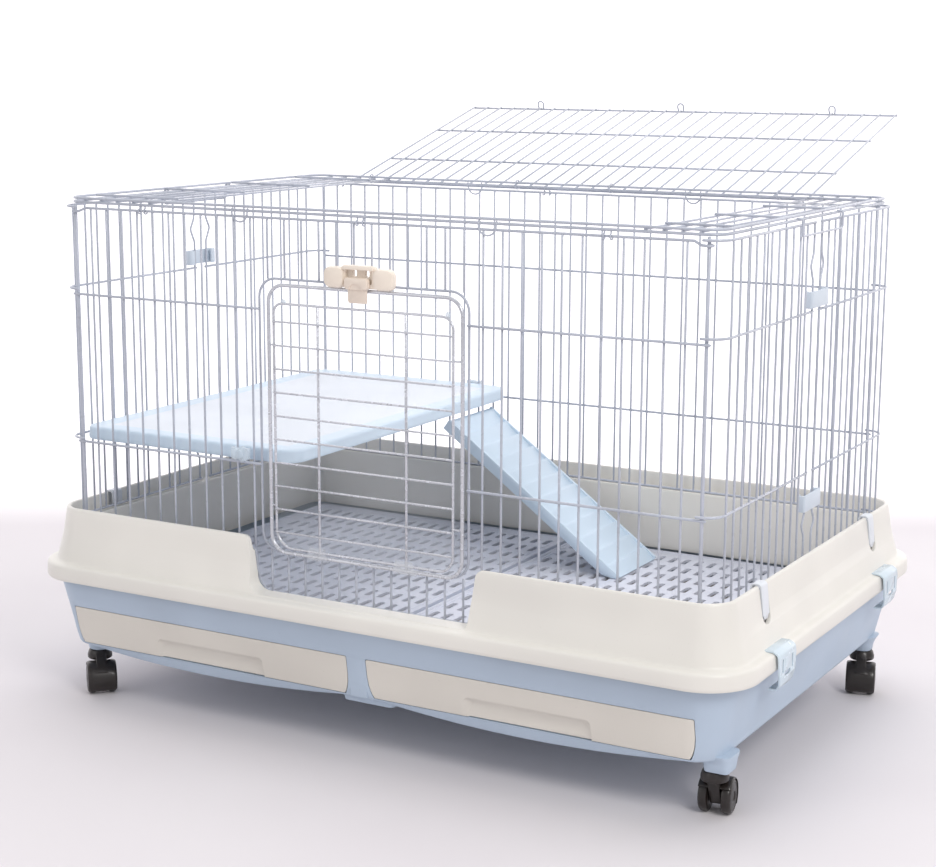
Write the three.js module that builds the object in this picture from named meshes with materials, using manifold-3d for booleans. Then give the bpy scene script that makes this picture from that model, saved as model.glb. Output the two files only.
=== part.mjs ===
// Indoor rabbit hutch: a wire cage on a plastic tray base with two drawers and four twin-wheel
// casters. Millimetres, +Z up, X along the width, front at -Y. The casters stand on Z = 0.
import * as THREE from "three";
import { mergeVertices } from "three/addons/utils/BufferGeometryUtils.js";
import Module from "manifold-3d";

const wasm = await Module();
wasm.setup();

// ---- driving dimensions -------------------------------------------------------------------
const PITCH = 25; // spacing of the upright wires
const BAYS = 35; // gaps between upright wires, corner post to corner post
const HALF_W = (PITCH * BAYS) / 2; // posts stand at X = +-437.5
const HALF_D = 284.4; // and at Y = +-284.4
const SIDE_X = HALF_W + 20.5; // plane of the side wires
const WIRE = 1.55; // half the width of a horizontal cage wire
const THIN = 1.4; // half the width of an upright cage wire
const POST = 2.2; // half the width of a corner post

const FLOOR_Z = 148; // top of the slotted floor
const NOTCH_Z = 186; // lowest wire, in the door notch
const LEDGE_Z = 239; // ledge that carries the cage
const LOW_Z = 348; // lower horizontal wire, front and back
const MID_Z = 542; // upper horizontal wire
const TOP_Z = 653; // top wire
const SIDE_LIFT = [1.6, 4.6, 7, 1.6]; // side horizontals sit above the front ones, to pass them
const ROOF_Z = 662.8; // middle of the double roof wire
const RIM_Z = 259; // rim of the collar

// outlines in plan: half width, half depth, corner radius
const RIM = { hx: 475, hy: 303, r: 38 };
const BASE_TOP = { hx: 484, hy: 314, r: 46, z: 164 };
const BASE_BOTTOM = { hx: 464, hy: 298, r: 36, z: 73 };

const DOOR = { cx: 4, hx: 136, bottom: 241, top: 573.5, y: -291.6, tube: 2.2, r: 22, grid: 126, gridX: 1.5, gridTop: 551 };
const OPENING = { cx: -3, hx: 147.5, bottom: 240, top: 580, r: 24 };
const LID = { x0: -387.5, wires: 30, length: 398, lean: 15.3, cross: [9, 121, 270, 396.5] };
const ROOF_OPEN = { left: -318, right: 362 };
const ROOF_CROSS = [-227, -85, 69, 227];
const SIDE_WIRES = { first: 14.2, pitch: 22.9, count: 12 };
const DRAWER = { inner: 14.5, outer: 443.5, z0: 77, z1: 127, depth: 555, wall: 2.5 };
const PLATFORM = { x0: -447, x1: -106, hy: 279, z0: 349.9, z1: 366.5, r: 26 };
const RAMP = { x0: -113, z0: 341, x1: 155, z1: 149.5, y: 170, hw: 62, t: 5, side: 13 };
const CASTER = { x: 448, y: 259, shift: 3.5, r: 20.5, wheel: 12, hub: 7, trail: 15 };
const CASTER_YAW = { front_left: 45, front_right: 188, rear_left: 150, rear_right: 16 };

// ---- colours ------------------------------------------------------------------------------
const BLUE = 0xb4c5dc;
const PALE_BLUE = 0xc8dbec;
const IVORY = 0xeeebe2;
const BEIGE = 0xdad2cb;
const LILAC = 0xcdd2e1;
const WIRE_COLOUR = 0xcdd2de;
const CREAM = 0xf0e2d4;
const CLEAR = 0xe6eef4;
const BLACK = 0x2a2423;
const STEEL = 0xb8bcc2;

// ---- solid helpers ------------------------------------------------------------------------
// A closed geometry as a solid; one that was wound inside out is turned round.
const solid = (geometry) => {
  const bare = new THREE.BufferGeometry();
  const flat = geometry.index ? geometry.toNonIndexed() : geometry;
  bare.setAttribute("position", flat.getAttribute("position"));
  const merged = mergeVertices(bare, 1e-3);
  const vertProperties = merged.attributes.position.array;
  const triVerts = new Uint32Array(merged.index.array);
  const made = new wasm.Manifold(new wasm.Mesh({ numProp: 3, vertProperties, triVerts }));
  if (made.volume() > 0) return made;
  return new wasm.Manifold(
    new wasm.Mesh({ numProp: 3, vertProperties, triVerts: triVerts.slice().reverse() }),
  );
};

const geometryOf = (body) => {
  const mesh = body.getMesh();
  const n = mesh.numProp;
  const xyz = new Float32Array(mesh.numVert * 3);
  for (let i = 0; i < mesh.numVert; i++) {
    xyz.set(mesh.vertProperties.subarray(i * n, i * n + 3), i * 3);
  }
  const g = new THREE.BufferGeometry();
  g.setAttribute("position", new THREE.BufferAttribute(xyz, 3));
  g.setIndex(new THREE.BufferAttribute(new Uint32Array(mesh.triVerts), 1));
  return g;
};

const union = (parts) => {
  let list = parts;
  while (list.length > 1) {
    const next = [];
    for (let i = 0; i < list.length; i += 2) {
      next.push(i + 1 < list.length ? list[i].add(list[i + 1]) : list[i]);
    }
    list = next;
  }
  return list[0];
};

const box = (x0, x1, y0, y1, z0, z1) =>
  solid(new THREE.BoxGeometry(x1 - x0, y1 - y0, z1 - z0).translate((x0 + x1) / 2, (y0 + y1) / 2, (z0 + z1) / 2));

// A straight bar with a square section, flats 2r apart, lengthened by `over` at both ends.
const bar = (a, b, r, over = 0, sides = 4) => {
  const from = new THREE.Vector3(...a);
  const to = new THREE.Vector3(...b);
  const along = to.clone().sub(from);
  const length = along.length() + 2 * over;
  const g = new THREE.CylinderGeometry(r, r, length, sides);
  if (sides === 4) g.rotateY(Math.PI / 4).scale(Math.SQRT2, 1, Math.SQRT2);
  const turn = new THREE.Quaternion().setFromUnitVectors(new THREE.Vector3(0, 1, 0), along.normalize());
  const mid = from.add(to).multiplyScalar(0.5);
  g.applyMatrix4(new THREE.Matrix4().compose(mid, turn, new THREE.Vector3(1, 1, 1)));
  return solid(g);
};

// A bent wire in a plane with the given normal: a square section, mitred at each bend.
const wire = (points, r, normal, closed = false) => {
  const up = new THREE.Vector3(...normal);
  const p = points.map((q) => new THREE.Vector3(...q));
  const n = p.length;
  const loops = p.map((here, i) => {
    const before = closed || i > 0 ? here.clone().sub(p[(i + n - 1) % n]).normalize() : null;
    const after = closed || i + 1 < n ? p[(i + 1) % n].clone().sub(here).normalize() : null;
    const along = (before ?? after).clone().add(after ?? before).normalize();
    const side = new THREE.Vector3().crossVectors(up, along);
    const reach = r / along.dot(after ?? before);
    return [[1, 1], [-1, 1], [-1, -1], [1, -1]].map(([a, b]) =>
      here.clone().addScaledVector(side, a * reach).addScaledVector(up, b * r).toArray(),
    );
  });
  return closed ? skinClosed(loops) : loft(loops);
};

const arc = (cx, cy, r, from, to, steps) => {
  const points = [];
  for (let i = 0; i <= steps; i++) {
    const a = THREE.MathUtils.degToRad(from + ((to - from) * i) / steps);
    points.push([cx + r * Math.cos(a), cy + r * Math.sin(a)]);
  }
  return points;
};

const roundRect = (hx, hy, r, steps = 4) => [
  ...arc(hx - r, hy - r, r, 0, 90, steps),
  ...arc(-hx + r, hy - r, r, 90, 180, steps),
  ...arc(-hx + r, -hy + r, r, 180, 270, steps),
  ...arc(hx - r, -hy + r, r, 270, 360, steps),
];

// Skins a list of equal-length closed loops of [x, y, z]; the ends get flat caps.
const loft = (loops) => {
  const n = loops[0].length;
  const xyz = loops.flat(2);
  const index = [];
  for (let k = 0; k + 1 < loops.length; k++) {
    for (let i = 0; i < n; i++) {
      const j = (i + 1) % n;
      index.push(k * n + i, k * n + j, (k + 1) * n + j, k * n + i, (k + 1) * n + j, (k + 1) * n + i);
    }
  }
  const last = (loops.length - 1) * n;
  for (let i = 1; i + 1 < n; i++) {
    index.push(0, i + 1, i);
    index.push(last, last + i, last + i + 1);
  }
  const g = new THREE.BufferGeometry();
  g.setAttribute("position", new THREE.Float32BufferAttribute(xyz, 3));
  g.setIndex(index);
  return solid(g);
};

const ring = (o, z, grow = 0, steps = 4) =>
  roundRect(o.hx + grow, o.hy + grow, Math.max(o.r + grow, 3), steps).map(([x, y]) => [x, y, z]);

// Skins a closed chain of equal-length loops.
const skinClosed = (loops) => {
  const n = loops[0].length;
  const index = [];
  for (let k = 0; k < loops.length; k++) {
    const m = (k + 1) % loops.length;
    for (let i = 0; i < n; i++) {
      const j = (i + 1) % n;
      index.push(k * n + i, k * n + j, m * n + j, k * n + i, m * n + j, m * n + i);
    }
  }
  const g = new THREE.BufferGeometry();
  g.setAttribute("position", new THREE.Float32BufferAttribute(loops.flat(2), 3));
  g.setIndex(index);
  return solid(g);
};

// A closed profile of [offset, z] carried round a rounded rectangle.
const frameSweep = (o, profile, steps = 4) => skinClosed(profile.map(([grow, z]) => ring(o, z, grow, steps)));

// An outline in the XZ plane, extruded along Y from y0 to y1.
const slabXZ = (points, y0, y1) => {
  const shape = new THREE.Shape(points.map(([x, z]) => new THREE.Vector2(x, z)));
  const g = new THREE.ExtrudeGeometry(shape, { depth: y1 - y0, bevelEnabled: false, steps: 1 });
  return solid(g.rotateX(Math.PI / 2).translate(0, y1, 0));
};

// An outline in the XY plane, extruded along Z.
const slabXY = (points, z0, z1) => {
  const shape = new THREE.Shape(points.map(([x, y]) => new THREE.Vector2(x, y)));
  const g = new THREE.ExtrudeGeometry(shape, { depth: z1 - z0, bevelEnabled: false, steps: 1 });
  return solid(g.translate(0, 0, z0));
};

const roundBoxXZ = (cx, cz, hx, hz, r, y0, y1, steps = 3) =>
  slabXZ(roundRect(hx, hz, r, steps).map(([x, z]) => [cx + x, cz + z]), y0, y1);

// A turned solid about the X axis, from [radius, x] points.
const turnedX = (profile, at, segments = 20) => {
  const g = new THREE.LatheGeometry(profile.map(([r, x]) => new THREE.Vector2(r, x)), segments);
  return solid(g.rotateZ(-Math.PI / 2).translate(...at));
};

const root = new THREE.Group();
root.name = "rabbit_hutch";
const cage = new THREE.Group();
root.add(cage);

const add = (name, body, color, roughness, metalness = 0, opacity = 1, group = cage) => {
  const material = new THREE.MeshStandardMaterial({ color, roughness, metalness });
  if (opacity < 1) {
    material.transparent = true;
    material.opacity = opacity;
  }
  const mesh = new THREE.Mesh(geometryOf(body), material);
  mesh.name = name;
  group.add(mesh);
  return mesh;
};

// ---- tray base ----------------------------------------------------------------------------
function baseTub() {
  const skin = 4;
  const inside = loft([ring(BASE_BOTTOM, 77, -skin), ring(BASE_TOP, BASE_TOP.z + 1, -skin)]);
  let body = loft([ring(BASE_BOTTOM, BASE_BOTTOM.z), ring(BASE_TOP, BASE_TOP.z)]).subtract(inside);
  const rails = [box(-12, 12, -302, 292, 75, FLOOR_Z - 8.4)];
  for (const s of [-1, 1]) {
    const x = [s * 447, s * 451].sort((a, b) => a - b);
    rails.push(box(x[0], x[1], -290, 284, 75, FLOOR_Z - 8.4));
  }
  body = body.add(union(rails));
  for (const s of [-1, 1]) {
    const face = [s * DRAWER.inner, s * DRAWER.outer].sort((a, b) => a - b);
    body = body.subtract(box(face[0] - 0.7, face[1] + 0.7, -340, -280, DRAWER.z0 - 1.2, DRAWER.z1 + 1));
  }
  const parts = [body];
  for (const s of [-1, 1]) {
    const bow = [];
    for (let i = 0; i <= 8; i++) {
      const u = -1 + i / 4;
      bow.push([s * 229 + 185 * u, 74 - 12 * (1 - u * u)]);
    }
    parts.push(slabXZ([...bow, [s * 229 + 185, 75.4], [s * 229 - 185, 75.4]], -298, -288));
    for (const t of [-1, 1]) {
      const boss = { hx: 15.5, hy: 15.5, r: 10 };
      const at = (z, grow) => ring(boss, z, grow, 3).map(([x, y]) => [x + s * CASTER.x + CASTER.shift, y + t * CASTER.y, z]);
      parts.push(loft([at(57, -2), at(60, 0), at(73, 3), at(75.4, 4)]));
    }
  }
  const lug = (z, grow) => ring({ hx: 38, hy: 14, r: 6 }, z, grow, 2).map(([x, y]) => [x, y - 270, z]);
  parts.push(loft([lug(64, -2), lug(75.4, 2)]));
  return union(parts);
}

function floorPanel(s) {
  const rim = { hx: 219, hy: 281, r: 6 };
  const place = (z, grow) => ring(rim, z, grow, 2).map(([x, y]) => [x + s * 223, y, z]);
  let body = loft([place(FLOOR_Z - 8, -2), place(FLOOR_Z, 0)]);
  const cuts = [];
  for (let row = 0; row < 7; row++) {
    for (let k = 0; k < 5; k++) {
      const x = s * 223 - 164 + k * 82 + (row % 2 ? 12 : -12);
      const y = -228 + row * 76;
      cuts.push(box(x - 26, x + 26, y - 26, y + 26, FLOOR_Z - 20, FLOOR_Z + 5));
    }
  }
  return body.subtract(union(cuts));
}

function drawer(s) {
  const cx = (s * (DRAWER.inner + DRAWER.outer)) / 2;
  const hx = (DRAWER.outer - DRAWER.inner) / 2;
  const y0 = -303;
  const y1 = y0 + DRAWER.depth;
  const skin = (grow) => loft([ring(BASE_BOTTOM, BASE_BOTTOM.z, grow), ring(BASE_TOP, BASE_TOP.z, grow)]);
  const face = slabXZ(
    [
      [cx - hx, DRAWER.z1],
      [cx - hx + 1, DRAWER.z0 + 10],
      [cx - hx + 10, DRAWER.z0],
      [cx + hx - 10, DRAWER.z0],
      [cx + hx - 1, DRAWER.z0 + 10],
      [cx + hx, DRAWER.z1],
    ],
    -330,
    y0 + 11,
  )
    .intersect(skin(-0.2))
    .subtract(skin(-11));
  const shell = box(cx - hx + 4, cx + hx - 4, y0 + 6, y1, DRAWER.z0 + 0.5, DRAWER.z1 - 2);
  const hollow = box(cx - hx + 6.5, cx + hx - 6.5, y0 + 8, y1 - 2.5, DRAWER.z0 + 3, DRAWER.z1 + 9);
  const scoop = slabXZ(
    [
      [cx - 84, DRAWER.z0 - 5],
      [cx - 89, DRAWER.z0 + 17],
      [cx + 79, DRAWER.z0 + 17],
      [cx + 86, DRAWER.z0 - 5],
    ].reverse(),
    y0 - 9,
    y0 + 5.5,
  );
  return face.add(shell).subtract(hollow).subtract(scoop);
}

// ---- collar -------------------------------------------------------------------------------
const SKIN = [
  [-4, RIM_Z],
  [0, RIM_Z - 2],
  [5, 226],
  [16, 188],
  [23, 188],
  [27.5, 183],
  [28.5, 171],
  [25, 166],
];
const INNER_SKIN = [
  [22, 166],
  [22, 182],
  [12, 184],
  [-1, 234.5],
  [-20, 234.5],
  [-13, 150],
  [-16, 150],
  [-23, 236],
  [-23, LEDGE_Z],
  [-5.5, LEDGE_Z],
  [-5.5, RIM_Z - 2],
];

function collar() {
  let body = frameSweep(RIM, [...SKIN, ...INNER_SKIN].reverse(), 5);
  const hull = loft(SKIN.map(([grow, z]) => ring(RIM, z, grow, 5)).reverse());
  const block = box(-176, 176, -340, -286, 166, LEDGE_Z).intersect(hull);
  body = body.add(block);
  const notch = [
    [-166, RIM_Z + 5],
    [-161, RIM_Z - 5],
    [-157, RIM_Z - 14],
    [-153, 211],
    [-150, 200],
    [-143, 193],
    [-134, 190],
    [154, 190],
    [159, 191.5],
    [161, 197],
    [162.5, 222],
    [165, RIM_Z - 12],
    [171, RIM_Z + 5],
  ];
  body = body.subtract(slabXZ(notch, -360, -260));
  body = body.subtract(box(-179, 179, -295, -260, 183.5, 300));
  for (const s of [-1, 1]) {
    for (const y of [-190, 190]) {
      const x = [s * 462.5, s * 500].sort((a, b) => a - b);
      body = body.subtract(box(x[0], x[1], y - 13, y + 13, 212, 300));
    }
  }
  return body;
}

function retainer(s, y) {
  const outer = [s * 476.5, s * 480.5].sort((a, b) => a - b);
  const over = [s * 463.5, s * 480.5].sort((a, b) => a - b);
  const inner = [s * 463.5, s * 466.5].sort((a, b) => a - b);
  return union([
    box(outer[0], outer[1], y - 12, y + 12, 216, RIM_Z + 2),
    box(over[0], over[1], y - 12, y + 12, RIM_Z - 1, RIM_Z + 2),
    box(inner[0], inner[1], y - 12, y + 12, 240, RIM_Z + 2),
  ]);
}

// A hasp that clamps the flange of the collar to the base wall.
function hasp(s, y) {
  const profile = [
    [492, 189],
    [504.3, 189],
    [507.5, 184],
    [507.5, 150],
    [504, 142],
    [489, 142],
    [489, 146.5],
    [501, 146.5],
    [504.2, 152],
    [504.2, 184.5],
    [502.5, 188.4],
    [492, 188.4],
  ];
  const shape = new THREE.Shape(profile.map(([x, z]) => new THREE.Vector2(x, z)));
  const g = new THREE.ExtrudeGeometry(shape, { depth: 56, bevelEnabled: false, steps: 1 });
  g.rotateX(Math.PI / 2).translate(0, y + 28, 0);
  if (s < 0) g.rotateZ(Math.PI).translate(0, 2 * y, 0);
  return solid(g);
}

// ---- wire cage ----------------------------------------------------------------------------
const uprightX = (n) => -HALF_W + n * PITCH;

function backPanel() {
  const y = HALF_D;
  const parts = [];
  for (let n = 0; n <= BAYS; n++) {
    const edge = n === 0 || n === BAYS;
    parts.push(bar([uprightX(n), y, LEDGE_Z + 2.2], [uprightX(n), y, TOP_Z + (edge ? 4 : 0)], edge ? POST : THIN));
  }
  parts.push(bar([-HALF_W, y, LEDGE_Z + 2.2], [HALF_W, y, LEDGE_Z + 2.2], WIRE));
  parts.push(bar([-HALF_W, y, TOP_Z], [HALF_W, y, TOP_Z], WIRE));
  for (const z of [LOW_Z, MID_Z]) {
    parts.push(bar([-HALF_W, y + 2.6, z], [HALF_W, y + 2.6, z], WIRE));
  }
  return union(parts);
}

function frontPanel() {
  const y = -HALF_D;
  const parts = [];
  for (let n = 0; n <= BAYS; n++) {
    const x = uprightX(n);
    const edge = n === 0 || n === BAYS;
    if (Math.abs(x - OPENING.cx) > OPENING.hx) {
      parts.push(bar([x, y, LEDGE_Z + 2.2], [x, y, TOP_Z + (edge ? 4 : 0)], edge ? POST : THIN));
    } else {
      parts.push(bar([x, y, OPENING.top], [x, y, TOP_Z], THIN));
      parts.push(bar([x, y, NOTCH_Z], [x, y, OPENING.bottom], THIN));
    }
  }
  for (const s of [-1, 1]) {
    for (const z of [LOW_Z, MID_Z]) {
      const x = [s * HALF_W, OPENING.cx + s * (OPENING.hx - 0.6)].sort((a, b) => a - b);
      parts.push(bar([x[0], y - 2.6, z], [x[1], y - 2.6, z], WIRE));
    }
    parts.push(
      wire(
        [
          [s * HALF_W, y, LEDGE_Z + 2.2],
          [s * 176, y, LEDGE_Z + 2.2],
          [s * 167, y, LEDGE_Z - 5],
          [s * 162, y, 212],
          [s * 158, y, 196],
          [s * 150, y, 189],
          [s * 138, y, NOTCH_Z],
          [s * 130, y, NOTCH_Z],
        ],
        WIRE,
        [0, 1, 0],
      ),
    );
  }
  parts.push(bar([-138, y, NOTCH_Z], [138, y, NOTCH_Z], WIRE));
  parts.push(bar([-HALF_W, y, TOP_Z], [HALF_W, y, TOP_Z], WIRE));
  const { cx, hx, bottom, top, r } = OPENING;
  const loop = roundRect(hx, (top - bottom) / 2, r, 3).map(([x, z]) => [x + cx, y, z + (top + bottom) / 2]);
  parts.push(wire(loop, WIRE, [0, 1, 0], true));
  return union(parts);
}

// One half of a side: sx picks left or right, sy front or back.
function sideHalf(sx, sy) {
  const { first, pitch, count } = SIDE_WIRES;
  const parts = [];
  const lastY = first + pitch * (count - 1);
  const levels = [LEDGE_Z + 2.2, LOW_Z, MID_Z, TOP_Z].map((z, i) => z + SIDE_LIFT[i]);
  for (let k = 1; k < count; k++) {
    const y = sy * (first + pitch * k);
    parts.push(bar([sx * SIDE_X, y, levels[0]], [sx * SIDE_X, y, levels[3]], THIN));
  }
  const zig = (z, wide) => [sx * SIDE_X, sy * (wide ? 23 : 12), z];
  parts.push(
    wire(
      [
        zig(levels[0]),
        zig(272),
        zig(288, true),
        zig(304),
        zig(586),
        zig(604, true),
        zig(623),
        zig(levels[3]),
      ],
      THIN,
      [1, 0, 0],
    ),
  );
  for (const z of levels) {
    parts.push(
      wire(
        [
          [sx * SIDE_X, sy * 12, z],
          [sx * SIDE_X, sy * lastY, z],
          [sx * (HALF_W + 15), sy * (HALF_D - 3), z],
          [sx * (HALF_W + 5), sy * (HALF_D + 5.6), z],
          [sx * (HALF_W - 4), sy * (HALF_D + 5.6), z],
        ],
        WIRE,
        [0, 0, 1],
      ),
    );
  }
  return union(parts);
}

// A C-shaped channel that slides on the two end wires of a side.
function sideClip(s, z) {
  const face = [s * (SIDE_X + 3), s * (SIDE_X + 6)].sort((a, b) => a - b);
  const lip = [s * (SIDE_X - 5), s * (SIDE_X + 6)].sort((a, b) => a - b);
  const back = [s * (SIDE_X - 5), s * (SIDE_X - 2.6)].sort((a, b) => a - b);
  return union([
    box(face[0], face[1], -29, 29, z - 10, z + 10),
    box(lip[0], lip[1], -29, -26, z - 10, z + 10),
    box(lip[0], lip[1], 26, 29, z - 10, z + 10),
    box(back[0], back[1], -29, -20, z - 10, z + 10),
    box(back[0], back[1], 20, 29, z - 10, z + 10),
  ]);
}

// ---- roof ---------------------------------------------------------------------------------
function roofFrame() {
  const outline = roundRect(452, HALF_D, 24, 3);
  const parts = [];
  for (const z of [ROOF_Z - 2.6, ROOF_Z + 2.6]) {
    parts.push(wire(outline.map(([x, y]) => [x, y, z]), 1.7, [0, 0, 1], true));
  }
  for (let i = 0; i < outline.length; i += 4) {
    const [x, y] = outline[i];
    parts.push(bar([x, y, ROOF_Z - 3], [x, y, ROOF_Z + 3], 1.6));
  }
  const left = [0, 1, 2, 3, 4].map((k) => ROOF_OPEN.left - k * 26);
  const right = [0, 1, 2, 3].map((k) => ROOF_OPEN.right + k * 22);
  for (const x of [...left, ...right]) {
    parts.push(bar([x, -HALF_D, ROOF_Z], [x, HALF_D, ROOF_Z], THIN));
  }
  for (const y of ROOF_CROSS) {
    parts.push(bar([-452, y, ROOF_Z], [ROOF_OPEN.left - 1, y, ROOF_Z], WIRE));
    parts.push(bar([ROOF_OPEN.right + 1, y, ROOF_Z], [452, y, ROOF_Z], WIRE));
  }
  return union(parts);
}

// The lid is drawn closed in its own frame (hinge on the local X axis, wires towards -Y) and
// then swung back to its open rest position.
function lid() {
  const { x0, wires, length, cross } = LID;
  const rise = 6.4;
  const parts = [];
  for (let k = 0; k < wires; k++) {
    const x = x0 + k * PITCH;
    parts.push(bar([x, -cross[0], rise], [x, -cross[3], rise], THIN));
  }
  const x1 = x0 + (wires - 1) * PITCH;
  for (const y of cross) parts.push(bar([x0, -y, rise], [x1, -y, rise], WIRE, 1.6));
  for (const x of [-262.5, -12.5, 237.5]) {
    const y = -cross[3];
    const loop = [[x - 5, y, rise], [x - 5, y, rise - 12], [x + 5, y, rise - 12], [x + 5, y, rise]];
    parts.push(wire(loop, 1.3, [0, 1, 0]));
  }
  for (const x of [-350, -100, 50, 300]) {
    const loop = arc(0, 0, 6.7, 90, -150, 8).map(([y, z]) => [x, y, z]);
    parts.push(wire([[x, -cross[0], rise], ...loop], 1, [1, 0, 0]));
  }
  return union(parts);
}

// U-shaped bail that hooks the roof over the top wire of a side.
function bail(s) {
  const x = s * 463.5;
  const loop = [[x, -70, ROOF_Z], [x, -70, ROOF_Z - 20], [x, 70, ROOF_Z - 20], [x, 70, ROOF_Z]];
  const parts = [wire(loop, 1.4, [1, 0, 0])];
  for (const y of [-70, 70]) parts.push(bar([s * 456.2, y, ROOF_Z], [x, y, ROOF_Z], 1.2));
  return union(parts);
}

// ---- front door ---------------------------------------------------------------------------
function doorFrame() {
  const { cx, hx, bottom, top, y, tube, r, grid, gridX, gridTop } = DOOR;
  const mid = (bottom + top) / 2;
  const outline = roundRect(hx, (top - bottom) / 2, r, 3).map(([x, z]) => [x + cx, y, z + mid]);
  const parts = [wire(outline, tube, [0, 1, 0], true)];
  const inner = roundRect(grid, (gridTop - bottom - 10) / 2, 14, 2);
  const innerMid = (gridTop + bottom + 10) / 2;
  parts.push(wire(inner.map(([x, z]) => [x + gridX, y, z + innerMid]), 1.4, [0, 1, 0], true));
  for (let k = 0; k < 10; k++) {
    const z = 529 - k * 29.1;
    parts.push(bar([gridX - grid, y, z], [gridX + grid, y, z], 1.2));
  }
  for (const s of [-1, 1]) {
    parts.push(bar([gridX + s * 62, y, bottom], [gridX + s * 62, y, gridTop], 1.3));
    for (const z of [300, 500]) parts.push(bar([gridX + s * grid, y, z], [cx + s * hx, y, z], 1.2));
  }
  return union(parts);
}

function doorPlate() {
  const mid = (DOOR.bottom + DOOR.top) / 2;
  const hz = (DOOR.top - DOOR.bottom) / 2 - 4;
  return roundBoxXZ(DOOR.cx, mid, DOOR.hx - 4, hz, 16, DOOR.y + 2.6, DOOR.y + 4.1);
}

// Clear cuff that hooks the foot of the door over the cage wire.
function doorCuff(x) {
  return union([
    box(x - 15, x + 15, DOOR.y - 5, DOOR.y - 3, 238, 253),
    box(x - 15, x + 15, DOOR.y - 5, DOOR.y + 2.6, 236.4, 238.4),
  ]);
}

function latchBody() {
  const y = -HALF_D - 3;
  const plate = roundBoxXZ(0, 590, 48, 12.5, 6, y - 7, y);
  const holes = [-30, 30].map((x) => roundBoxXZ(x, 591, 7, 3.5, 3.4, y - 12, y + 3, 2));
  const slot = box(-6, 6, y - 9, y + 1, 580.5, 599);
  return plate.subtract(union(holes)).subtract(slot);
}

function latchSlider() {
  const y = -HALF_D - 3;
  const tongue = box(-13, 13, y - 12.4, y - 8.4, 562, 592);
  const thumb = roundBoxXZ(0, 591, 17, 8, 6, y - 13, y - 7.4);
  const stem = box(-5.5, 5.5, y - 8, y - 0.5, 581, 592);
  return union([tongue, thumb, stem]);
}

// ---- platform and ramp --------------------------------------------------------------------
function platform() {
  const cx = (PLATFORM.x0 + PLATFORM.x1) / 2;
  const outline = { hx: (PLATFORM.x1 - PLATFORM.x0) / 2, hy: PLATFORM.hy, r: PLATFORM.r };
  const place = (z, grow) => ring(outline, z, grow).map(([x, y]) => [x + cx, y, z]);
  const shell = loft([place(PLATFORM.z0, 0), place(PLATFORM.z1 - 4, 0), place(PLATFORM.z1, -4)]);
  return shell.subtract(loft([place(PLATFORM.z0 - 5, -4), place(PLATFORM.z1 - 5, -4)]));
}

function knob(s) {
  const x = -175;
  const y = s * (HALF_D + 5);
  const profile = [[0, 0], [13, 0], [13, 9], [10, 12], [0, 12]];
  const g = new THREE.LatheGeometry(profile.map(([r, h]) => new THREE.Vector2(r, h)), 12);
  if (s < 0) g.rotateX(Math.PI);
  g.translate(0, y, 359);
  return solid(g.translate(x, 0, 0));
}

function ramp() {
  const dx = RAMP.x1 - RAMP.x0;
  const dz = RAMP.z1 - RAMP.z0;
  const length = Math.hypot(dx, dz);
  const deck = box(0, length, -RAMP.hw, RAMP.hw, -RAMP.t, 0);
  const parts = [deck];
  for (const s of [-1, 1]) {
    const y = [s * (RAMP.hw - 4), s * RAMP.hw].sort((a, b) => a - b);
    parts.push(box(0, length - 6, y[0], y[1], -RAMP.side, 3));
  }
  for (let k = 1; k < 10; k++) {
    const x = (k * length) / 10;
    parts.push(box(x - 3, x + 3, -RAMP.hw + 2, RAMP.hw - 2, -1, 2));
  }
  const turn = new THREE.Matrix4().makeRotationY(-Math.atan2(dz, dx));
  const g = geometryOf(union(parts)).applyMatrix4(turn).translate(RAMP.x0, RAMP.y, RAMP.z0);
  return solid(g).subtract(box(0, 300, 80, 260, 100, FLOOR_Z + 0.5));
}

// ---- casters ------------------------------------------------------------------------------
function caster(name, sx, sy) {
  const group = new THREE.Group();
  group.position.set(sx * CASTER.x + CASTER.shift, sy * CASTER.y, 0);
  group.rotation.z = THREE.MathUtils.degToRad(CASTER_YAW[name]);
  cage.add(group);
  // local frame: the axle runs along X, the wheels trail towards -Y
  const { r, wheel, hub, trail } = CASTER;
  const at = [0, -trail, r];
  const outline = [[4.4, 0], [r - 2.5, 0], [r, 2], [r, wheel - 3], [r - 4, wheel], [0, wheel], [0, 9], [4.4, 9]];
  for (const s of [-1, 1]) {
    const g = new THREE.LatheGeometry([...outline, outline[0]].map(([a, b]) => new THREE.Vector2(a, b)), 18);
    g.rotateZ(-Math.PI / 2);
    if (s < 0) g.rotateY(Math.PI);
    g.translate(at[0] + s * (hub + 0.6), at[1], at[2]);
    add(`caster_wheel_${name}_${s < 0 ? "a" : "b"}`, solid(g), BLACK, 0.35, 0, 1, group);
  }
  add(
    `caster_axle_${name}`,
    bar([-hub - 8.6, -trail, r], [hub + 8.6, -trail, r], 3.6, 0, 8),
    STEEL,
    0.3,
    1,
    1,
    group,
  );
  const hoodSolid = (() => {
    const yz = [
      [-trail - 9, r - 8],
      [-trail + 9, r - 8],
      [-trail + 15, r + 4],
      [10, 43],
      [10, 56.5],
      [-10, 56.5],
      [-trail - 8, 44],
      [-trail - 16, r + 8],
    ];
    const shape = new THREE.Shape(yz.map(([y, z]) => new THREE.Vector2(y, z)));
    const g = new THREE.ExtrudeGeometry(shape, { depth: 2 * hub, bevelEnabled: false, steps: 1 });
    g.rotateX(Math.PI / 2).rotateZ(Math.PI / 2).translate(-hub, 0, 0);
    return solid(g);
  })();
  const bore = bar([-30, -trail, r], [30, -trail, r], 4.1, 0, 8);
  const cap = new THREE.CylinderGeometry(15, 17, 9, 14).rotateX(Math.PI / 2).translate(0, 0, 52);
  add(`caster_fork_${name}`, hoodSolid.add(solid(cap)).subtract(bore), BLACK, 0.4, 0, 1, group);
  return group;
}

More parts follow.
